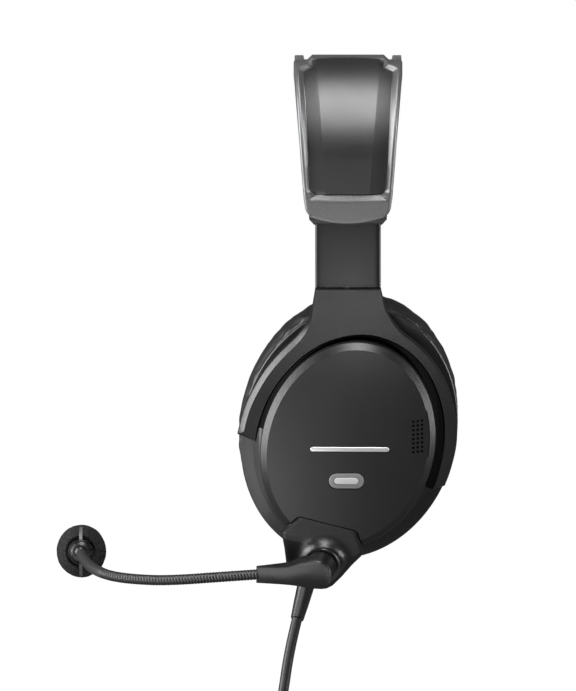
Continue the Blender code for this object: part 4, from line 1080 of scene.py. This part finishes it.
def port():
    """The microphone port: a grey oval let into the cover, with a paler raised oval in its middle."""
    top = COVER_CROWN
    rim = slot_outline(PORT_X, PORT_Z, 0.0071, 0.00315)
    base = plate("left_port_base", rim, top - 0.0014, top - 0.00005, PORT_GREY)
    bevel(base, 0.0004, 3)
    room = slot_outline(PORT_X, PORT_Z, 0.0051, 0.0016)
    cut(base, plate("port_inner_seat", room, top - 0.0005, CUTTER_OUT, PORT_GREY))
    raised = slot_outline(PORT_X, PORT_Z, 0.0049, 0.0014)
    inner = plate("left_port_oval", raised, top - 0.0006, top + 0.0001, PORT_PALE)
    bevel(inner, 0.0003, 3)
    return base, inner


port_base, port_oval = port()
place_pair(port_base, "port_base", "cup", ("port_insert",))
place_pair(port_oval, "port_oval", "cup")
bar_shape = slot_outline(BAR_X, BAR_Z, 0.0158, 0.00095)
bar = plate("left_bar", bar_shape, COVER_CROWN - 0.0007, COVER_CROWN + 0.00015, BRIGHT)
bevel(bar, 0.00025, 3)
place_pair(bar, "trim_bar_fine", "cup", ("trim_bar",))

# --- Module ---------------------------------------------------------------------------------------
# A moulded piece that fits the cover's notch and runs down the drum's side. The left one carries
# the boom's hub on a swept boss and lets the cord out below; the right one is left blank.
HUB_TURN = (Matrix.Rotation(math.radians(-7.5), 4, "Z") @ Matrix.Rotation(math.radians(12.5), 4, "X")
            @ Matrix.Rotation(math.radians(-16.3), 4, "Y"))
HUB_FRAME = CUP_FRAME @ Matrix.Translation((0.0008, -0.0094, -0.0413)) @ HUB_TURN
MODULE_SECTIONS = (  # height, middle, half width, back and face
    (-0.0248, -0.0013, 0.0119, 0.0036, 0.0094),
    (-0.0325, -0.0013, 0.0171, 0.0036, 0.0093),
    (-0.0350, -0.0013, 0.0162, 0.0036, 0.0088),
    (-0.0353, -0.0013, 0.0160, -0.0060, 0.0087),
    (-0.0395, -0.0015, 0.0140, -0.0062, 0.0072),
    (-0.0455, -0.0017, 0.0116, -0.0062, 0.0055),
    (-0.0505, -0.0022, 0.0094, -0.0060, 0.0044),
    (-0.0523, -0.0025, 0.0079, -0.0054, 0.0038),
    (-0.0533, -0.0026, 0.0060, -0.0044, 0.0030),
)
MODULE_CORNER = 0.0011
BOSS_RADIUS = 0.0076
COVE_REACH = 0.0124


def cove(point):
    """How far the module's face rises at a place on it, to meet the hub's boss."""
    local = HUB_FRAME.inverted() @ (CUP_FRAME @ point)
    away = math.hypot(local.x, local.z)
    share = min(max((COVE_REACH - away) / (COVE_REACH - BOSS_RADIUS), 0.0), 1.0)
    return 0.0030 * share**2.4


def module(name, hub):
    """The module: eased side edges, a face that falls back below the seam, and a cove to the boss."""
    stations = []
    for a, b in zip(MODULE_SECTIONS, MODULE_SECTIONS[1:]):
        steps = max(1, round((a[0] - b[0]) / 0.0005))
        for step in range(steps):
            stations.append([p + (q - p) * step / steps for p, q in zip(a, b)])
    stations.append(MODULE_SECTIONS[-1])
    rings = []
    for z, middle, half, back, front in stations:
        ring = []
        across = 36
        edge = half - MODULE_CORNER
        for i in range(across + 1):
            x = middle - edge + 2.0 * edge * i / across
            rise = cove(Vector((x, -front, z))) if hub else 0.0
            ring.append((x, front + rise * step_between(0.0, 0.003, edge - abs(x - middle))))
        ring += [(middle + half - 0.0004, front - 0.0003), (middle + half, front - MODULE_CORNER)]
        ring += [(middle + half, back + 0.0006), (middle + half - 0.0006, back)]
        ring += [(middle - half + 0.0006, back), (middle - half, back + 0.0006)]
        ring += [(middle - half, front - MODULE_CORNER), (middle - half + 0.0004, front - 0.0003)]
        rings.append([CUP_FRAME @ Vector((x, -out, z)) for x, out in ring])
    body = skin(name, rings, BLACK_PLASTIC, sharp=32.0)
    room = [oval(0.0337, 0.0425, out, 96) for out in (-0.0200, 0.0034)]
    cut(body, skin("drum_space", room, BLACK_PLASTIC))
    if hub:
        start = HUB_FRAME @ Vector((0.0, 0.0070, 0.0))
        end = HUB_FRAME @ Vector((0.0, -0.0030, 0.0))
        profile = (
            (0.0, BOSS_RADIUS), (0.0080, BOSS_RADIUS), (0.0085, BOSS_RADIUS - 0.0003), (0.0086, 0.0040),
        )
        joined(body, turned("module_boss", start, end, profile, BLACK_PLASTIC, 64))
    shade(body, 32.0)
    return body


left_module = module("boom_module_shell", True)
place_one(left_module, "left_cup", ("boom_module",))
blank = module("blank_shell", False)
right_module = mirrored(blank, "blank_module_shell")
bpy.data.objects.remove(blank)
place_one(right_module, "right_cup", ("blank_module",))

# --- Boom and gooseneck ---------------------------------------------------------------------------
# The boom's moulded arm turns on the module's boss. From its slim tip runs a bendable gooseneck in
# ribbed rubber over a sprung core, and a smooth sleeve closes it at the microphone.
# The arm's outline from under the hub, along its upper edge to the tip and back, outside and inside.
ARM_FRONT = (
    (-0.0022, 0.0067), (-0.0043, 0.0063), (-0.0064, 0.0057), (-0.0090, 0.0048), (-0.0118, 0.0041),
    (-0.0147, 0.0037), (-0.0245, 0.0036), (-0.0251, -0.0037), (-0.0153, -0.0041), (-0.0110, -0.0044),
    (-0.0071, -0.0049), (-0.0040, -0.0055),
)
ARM_REAR = (
    (-0.0040, 0.0067), (-0.0060, 0.0064), (-0.0078, 0.0057), (-0.0096, 0.0047), (-0.0118, 0.0038),
    (-0.0155, 0.0031), (-0.0255, 0.0016), (-0.0258, -0.0035), (-0.0153, -0.0041), (-0.0110, -0.0044),
    (-0.0071, -0.0049), (-0.0040, -0.0055),
)
HUB_RADIUS = 0.0062
HUB_UP = 0.0004


def boom_arm():
    """The boom's arm: a round hub that sweeps out to a slim rectangular tip, its front edge crisp."""
    hub_edge = []
    for degrees in range(-100, 95, 8):
        angle = math.radians(degrees)
        hub_edge.append((HUB_RADIUS * math.cos(angle), HUB_UP + HUB_RADIUS * math.sin(angle)))
    rings = []
    for out, grow, side in ((0.0060, -0.0003, ARM_REAR), (0.0064, 0.0, ARM_REAR), (0.0111, 0.0, ARM_FRONT),
                            (0.0115, -0.0002, ARM_FRONT), (0.0117, -0.0006, ARM_FRONT)):
        ring = []
        for x, z in [*hub_edge, *side]:
            ring.append(HUB_FRAME @ Vector((x * (1.0 + grow / 0.0180), -out, z * (1.0 + grow / 0.0050))))
        rings.append(ring)
    arm = skin("boom_arm_shell", rings, BLACK_PLASTIC, sharp=40.0)
    start = HUB_FRAME @ Vector((0.0, -0.0023, HUB_UP))
    end = HUB_FRAME @ Vector((0.0, -0.0100, HUB_UP))
    profile = ((0.0, 0.0058), (0.0003, HUB_RADIUS), (0.0060, HUB_RADIUS))
    cut(arm, turned("boom_hub", start, end, profile, BLACK_PLASTIC, 72), "UNION")
    return arm


boom = boom_arm()
place_one(boom, "boom", ("boom_arm",))
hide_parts("boom_axle")

# The gooseneck's middle line in the hub's frame, from inside the arm's tip to the microphone.
NECK_ROUTE = (
    (-0.0240, -0.0101, -0.0004), (-0.0350, -0.0107, -0.0012), (-0.0449, -0.0109, -0.0021),
    (-0.0549, -0.0106, -0.0032), (-0.0653, -0.0093, -0.0044), (-0.0751, -0.0068, -0.0054),
    (-0.0840, -0.0031, -0.0064), (-0.0910, 0.0016, -0.0072), (-0.0975, 0.0086, -0.0080),
    (-0.1027, 0.0167, -0.0084), (-0.1062, 0.0241, -0.0084),
)
NECK_STEPS = 8
SLEEVE_FROM = 7 * NECK_STEPS
RIB_PITCH = 0.00128
RIB_BASE = 0.00190
RIB_HIGH = 0.00022
SLEEVE_BASE = 0.0021
SLEEVE_SWELL = 0.0001


def tube(name, route, radius_at, material, count=20):
    """A round tube along a route. radius_at(distance) gives its radius."""
    lengths = [0.0]
    for a, b in zip(route, route[1:]):
        lengths.append(lengths[-1] + (b - a).length)
    across = (route[1] - route[0]).orthogonal().normalized()
    rings = []
    for i, point in enumerate(route):
        along = (route[min(i + 1, len(route) - 1)] - route[max(i - 1, 0)]).normalized()
        across = (across - along * across.dot(along)).normalized()
        radius = radius_at(lengths[i])
        rings.append(circle(point, across, along.cross(across), radius, count))
    return skin(name, rings, material, sharp=60.0)


def even_route(route, step):
    """The same route with points an even step apart."""
    points = [route[0]]
    left = step
    for a, b in zip(route, route[1:]):
        length = (b - a).length
        place = left
        while place <= length:
            points.append(a.lerp(b, place / length))
            place += step
        left = place - length
    points.append(route[-1])
    return points


def rib_radius(place):
    """The ribbed rubber's radius: round ribs with a crease between each two."""
    return RIB_BASE + RIB_HIGH * abs(math.sin(math.pi * place / RIB_PITCH)) ** 0.6


def sleeve_radius(place):
    """The smooth sleeve's radius, a little smaller where it meets the ribs."""
    return SLEEVE_BASE + SLEEVE_SWELL * min(1.0, place / 0.002)


NECK_RUBBER = finish("neck_rubber", (0.010, 0.010, 0.0105), 0.38, 2600.0, 0.2, 0.1)
NECK_SLEEVE = finish("neck_sleeve", (0.026, 0.026, 0.027), 0.33, 2600.0, 0.2, 0.1)
route = [HUB_FRAME @ point for point in smooth_route(NECK_ROUTE, NECK_STEPS)]
ribbed_route = even_route(route[: SLEEVE_FROM + 1], RIB_PITCH / 6.0)
neck = tube("gooseneck_ribs", ribbed_route, rib_radius, NECK_RUBBER, 24)
place_one(neck, "boom", ("gooseneck",))
sleeve = tube("neck_sleeve", route[SLEEVE_FROM:], sleeve_radius, NECK_SLEEVE, 32)
place_one(sleeve, "boom", ("gooseneck_sleeve",))

# --- Microphone and windscreen --------------------------------------------------------------------
# The microphone sits on a ball at the gooseneck's end, in a small moulded shell with a rolled rim.
# A windscreen of open-cell foam is pulled over it, and a slim moulded holder keeps the foam on.
MIC = joint_place("mic_swivel")
FOAM_OUT = 0.0122
FOAM_RADIUS = 0.0101
FOAM_TALL = 1.06
MOUTH_RADIUS = 0.0064
BALL_RADIUS = 0.0028
RIM_OUT = 0.0022
RIM_RADIUS = 0.00485
RIM_THICK = 0.00018
BAND_HALF = 0.00065


def mic_point(x, out, z):
    return MIC + Vector((x, out, z))


def mic_ball():
    """The ball at the end of the gooseneck that the shell turns on."""
    profile = []
    for degrees in range(0, 181, 12):
        angle = math.radians(degrees)
        place = BALL_RADIUS - BALL_RADIUS * math.cos(angle)
        profile.append((place, max(BALL_RADIUS * math.sin(angle), 0.00005)))
    start = mic_point(0.0, -BALL_RADIUS, 0.0)
    return turned("mic_ball", start, mic_point(0.0, 0.01, 0.0), profile, BLACK_PLASTIC, 32)


def mic_shell():
    """The shell behind the foam: a cup that opens from the ball to its full width."""
    profile = ((0.0, 0.0026), (0.0003, 0.0034), (0.0010, 0.0044), (0.0020, 0.0047), (0.0060, 0.0047))
    start = mic_point(0.0, 0.0016, 0.0)
    return turned("mic_shell", start, mic_point(0.0, 0.01, 0.0), profile, BLACK_PLASTIC, 48)


def shell_rim():
    """The thin rolled edge round the shell's mouth."""
    across = Vector((1.0, 0.0, 0.0))
    up = Vector((0.0, 0.0, 1.0))
    rings = []
    for c, s in round_steps(12):
        centre = mic_point(0.0, RIM_OUT + RIM_THICK * c, 0.0)
        rings.append(circle(centre, across, up, RIM_RADIUS + RIM_THICK * s, 48))
    return skin("mic_rim", rings, BLACK_PLASTIC, closed=True)


place_one(mic_ball(), "boom")
capsule = mic_shell()
place_one(capsule, "microphone", ("mic_housing",))
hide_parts("mic_capsule")
place_one(shell_rim(), "microphone")


def foam_material():
    """Open-cell black foam: pores a third of a millimetre across sunk into a soft rough surface, with
    painted shade darkening each pore's hollow.
    """
    material = bpy.data.materials.new("open_foam")
    material.use_nodes = True
    tree = material.node_tree
    shader = tree.nodes["Principled BSDF"]
    cells = tree.nodes.new("ShaderNodeTexVoronoi")
    cells.inputs["Scale"].default_value = 1500.0
    place = tree.nodes.new("ShaderNodeTexCoord")
    # Painted shade: the colour darkens towards each pore's middle, where the bump sinks the surface.
    ramp = tree.nodes.new("ShaderNodeValToRGB")
    ramp.color_ramp.elements[0].color = (0.0008, 0.0008, 0.0008, 1.0)
    ramp.color_ramp.elements[1].color = (0.022, 0.022, 0.022, 1.0)
    ramp.color_ramp.elements[1].position = 0.75
    bump = tree.nodes.new("ShaderNodeBump")
    bump.inputs["Strength"].default_value = 0.9
    bump.inputs["Distance"].default_value = 0.0004
    link(tree, place.outputs["Object"], cells.inputs["Vector"])
    link(tree, cells.outputs["Distance"], ramp.inputs["Fac"])
    link(tree, cells.outputs["Distance"], bump.inputs["Height"])
    link(tree, ramp.outputs["Color"], shader.inputs["Base Color"])
    link(tree, bump.outputs[0], shader.inputs["Normal"])
    shader.inputs["Roughness"].default_value = 0.95
    shader.inputs["Specular IOR Level"].default_value = 0.2
    return material


FOAM = foam_material()


def windscreen():
    """The foam ball, a little uneven, with its mouth round the microphone."""
    mesh = bmesh.new()
    bmesh.ops.create_icosphere(mesh, subdivisions=6, radius=FOAM_RADIUS)
    for vertex in mesh.verts:
        point = vertex.co.copy()
        rough = noise.noise(point * 1400.0) * 0.00012 + noise.noise(point * 300.0) * 0.00015
        vertex.co += point.normalized() * rough
        mouth = math.hypot(vertex.co.x, vertex.co.z)
        if vertex.co.y < 0.0 and mouth < MOUTH_RADIUS:
            ease = 1.0 - step_between(0.0048, MOUTH_RADIUS, mouth)
            vertex.co.y += 0.0030 * ease
    tall = Matrix.Scale(FOAM_TALL, 4, (0.0, 0.0, 1.0))
    mesh.transform(Matrix.Translation(FOAM_CENTRE) @ tall)
    return new_piece("foam_ball", mesh, FOAM, 180.0)


FOAM_CENTRE = mic_point(0.0, FOAM_OUT, 0.0)
foam = windscreen()
place_one(foam, "microphone", ("windscreen",))
BAND_GREY = finish("band_grey", (0.075, 0.075, 0.077), 0.45, 2400.0, 0.2, 0.1)


def foam_band():
    """The slim holder that runs up and down the foam's near face and keeps it on the microphone."""
    rings = []
    for step in range(25):
        angle = math.radians(-66.0 + 132.0 * step / 24)
        ring = []
        for x, lift in ((-1.0, -0.0004), (1.0, -0.0004), (1.0, 0.00025), (-1.0, 0.00025)):
            reach = FOAM_RADIUS + lift
            out = -reach * math.cos(angle)
            up = reach * FOAM_TALL * math.sin(angle)
            ring.append(FOAM_CENTRE + Vector((x * BAND_HALF, out, up)))
        rings.append(ring)
    return skin("foam_band", rings, BAND_GREY)


band = foam_band()
place_one(band, "microphone")

# --- Strain relief --------------------------------------------------------------------------------
# A moulded rubber boot under the left module that spreads the cord's bend. It is pushed over the
# jacket and held in the module's mouth.
BOOT_RUBBER = finish("boot_rubber", (0.009, 0.009, 0.0095), 0.36, 2200.0, 0.2, 0.1)
relief_top = CUP_FRAME @ Vector((-0.0030, 0.0010, -0.0531))
relief_end = CUP_FRAME @ Vector((-0.0030, 0.0010, -0.0690))
relief = turned("relief_boot", relief_top, relief_end, (
    (0.0, 0.0030), (0.0002, 0.0034), (0.0008, 0.0035), (0.0030, 0.0034), (0.0090, 0.0031),
    (0.0140, 0.00275), (0.0152, 0.0027), (0.0158, 0.0025), (0.0158, 0.0022)), BOOT_RUBBER)
place_one(relief, "left_cup", ("strain_relief",))

# --- Ear cushions ---------------------------------------------------------------------------------
# Soft rings of synthetic leather over foam, gathered a little at their outer seam and stretched on
# the cup's flange. Behind them stand the baffle, the driver and the board, under a foam screen.
PAD_X = CUP_X - 0.0010
PAD_Z = CUP_Z + 0.0012
PAD_MIDDLE_X = 0.0350
PAD_MIDDLE_Z = 0.0449
PAD_SET = 0.0274
PAD_HALF_WIDTH = 0.0096
PAD_HALF_DEPTH = 0.0098
GATHER = 0.00036
PUFF = 0.0011


def filled_with_air(piece, held):
    """Lets slightly oversize leather swell and buckle over its foam, then keeps its shape."""
    group = piece.vertex_groups.new(name="sewn")
    group.add(held, 1.0, "REPLACE")
    modifier = piece.modifiers.new("leather", "CLOTH")
    cloth = modifier.settings
    cloth.vertex_group_mass = "sewn"
    cloth.mass = 0.15
    cloth.quality = 6
    cloth.tension_stiffness = 25.0
    cloth.compression_stiffness = 25.0
    cloth.shear_stiffness = 10.0
    cloth.bending_stiffness = 0.05
    cloth.shrink_min = -0.06
    cloth.use_pressure = True
    cloth.uniform_pressure_force = 4.0
    cloth.effector_weights.gravity = 0.0
    modifier.point_cache.frame_start = 1
    modifier.point_cache.frame_end = 20
    start = [vertex.co.copy() for vertex in piece.data.vertices]
    for frame_number in range(1, 21):
        scene.frame_set(frame_number)
    view = bpy.context.evaluated_depsgraph_get()
    swollen = piece.evaluated_get(view).to_mesh()
    moved = [vertex.co.copy() for vertex in swollen.vertices]
    piece.modifiers.clear()
    scene.frame_set(1)
    for vertex, old, new in zip(piece.data.vertices, start, moved):
        step = new - old
        if step.length > PUFF:
            step *= PUFF / step.length
        vertex.co = old + step


def ear_cushion():
    """The ring: flat on its flange, full towards the head, a little gathered at its outer seam."""
    count = 40
    around = 200
    rings = []
    for around_x, around_z in round_steps(around):
        ring = []
        for c, s in round_steps(count):
            across = squared(c, 0.72)
            depth = squared(s, 0.72)
            gather = noise.noise(Vector((around_x * 14.0, around_z * 14.0, depth * 1.2)))
            gather += 0.7 * noise.noise(Vector((around_x * 31.0, around_z * 31.0, depth * 0.8)))
            reach = PAD_HALF_WIDTH * across + GATHER * gather * max(0.0, across)
            x = PAD_X + (PAD_MIDDLE_X + reach) * around_x
            z = PAD_Z + (PAD_MIDDLE_Z + reach) * around_z
            ring.append(CUP_FRAME @ Vector((x, PAD_SET - PAD_HALF_DEPTH * depth, z)))
        rings.append(ring)
    piece = skin("left_cushion", rings, LEATHER, closed=True, sharp=80.0)
    held = [k * count + i for k in range(around) for i in range(6, 15)]
    filled_with_air(piece, held)
    finer = piece.modifiers.new("finer", "SUBSURF")
    finer.levels = 1
    finer.render_levels = 1
    apply_all(piece)
    shade(piece, 80.0)
    return piece


ear_pad = ear_cushion()
ear_pad.name = "left_ear_pad"
right_pad = mirrored(ear_pad, "right_ear_pad")
for word, one in (("left", ear_pad), ("right", right_pad)):
    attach(one, f"{word}_cup")
    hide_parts(f"{word}_ear_cushion")

# Behind the cushions the CAD pieces keep their own meshes, and so does the yoke's post.
for word in ("left", "right"):
    for node, material in (("baffle", BLACK_PLASTIC), ("driver", STEEL), ("circuit_board", BLACK_PLASTIC),
                           ("swivel_post", STEEL), ("ear_screen", FOAM)):
        refinish(f"{word}_{node}", material)
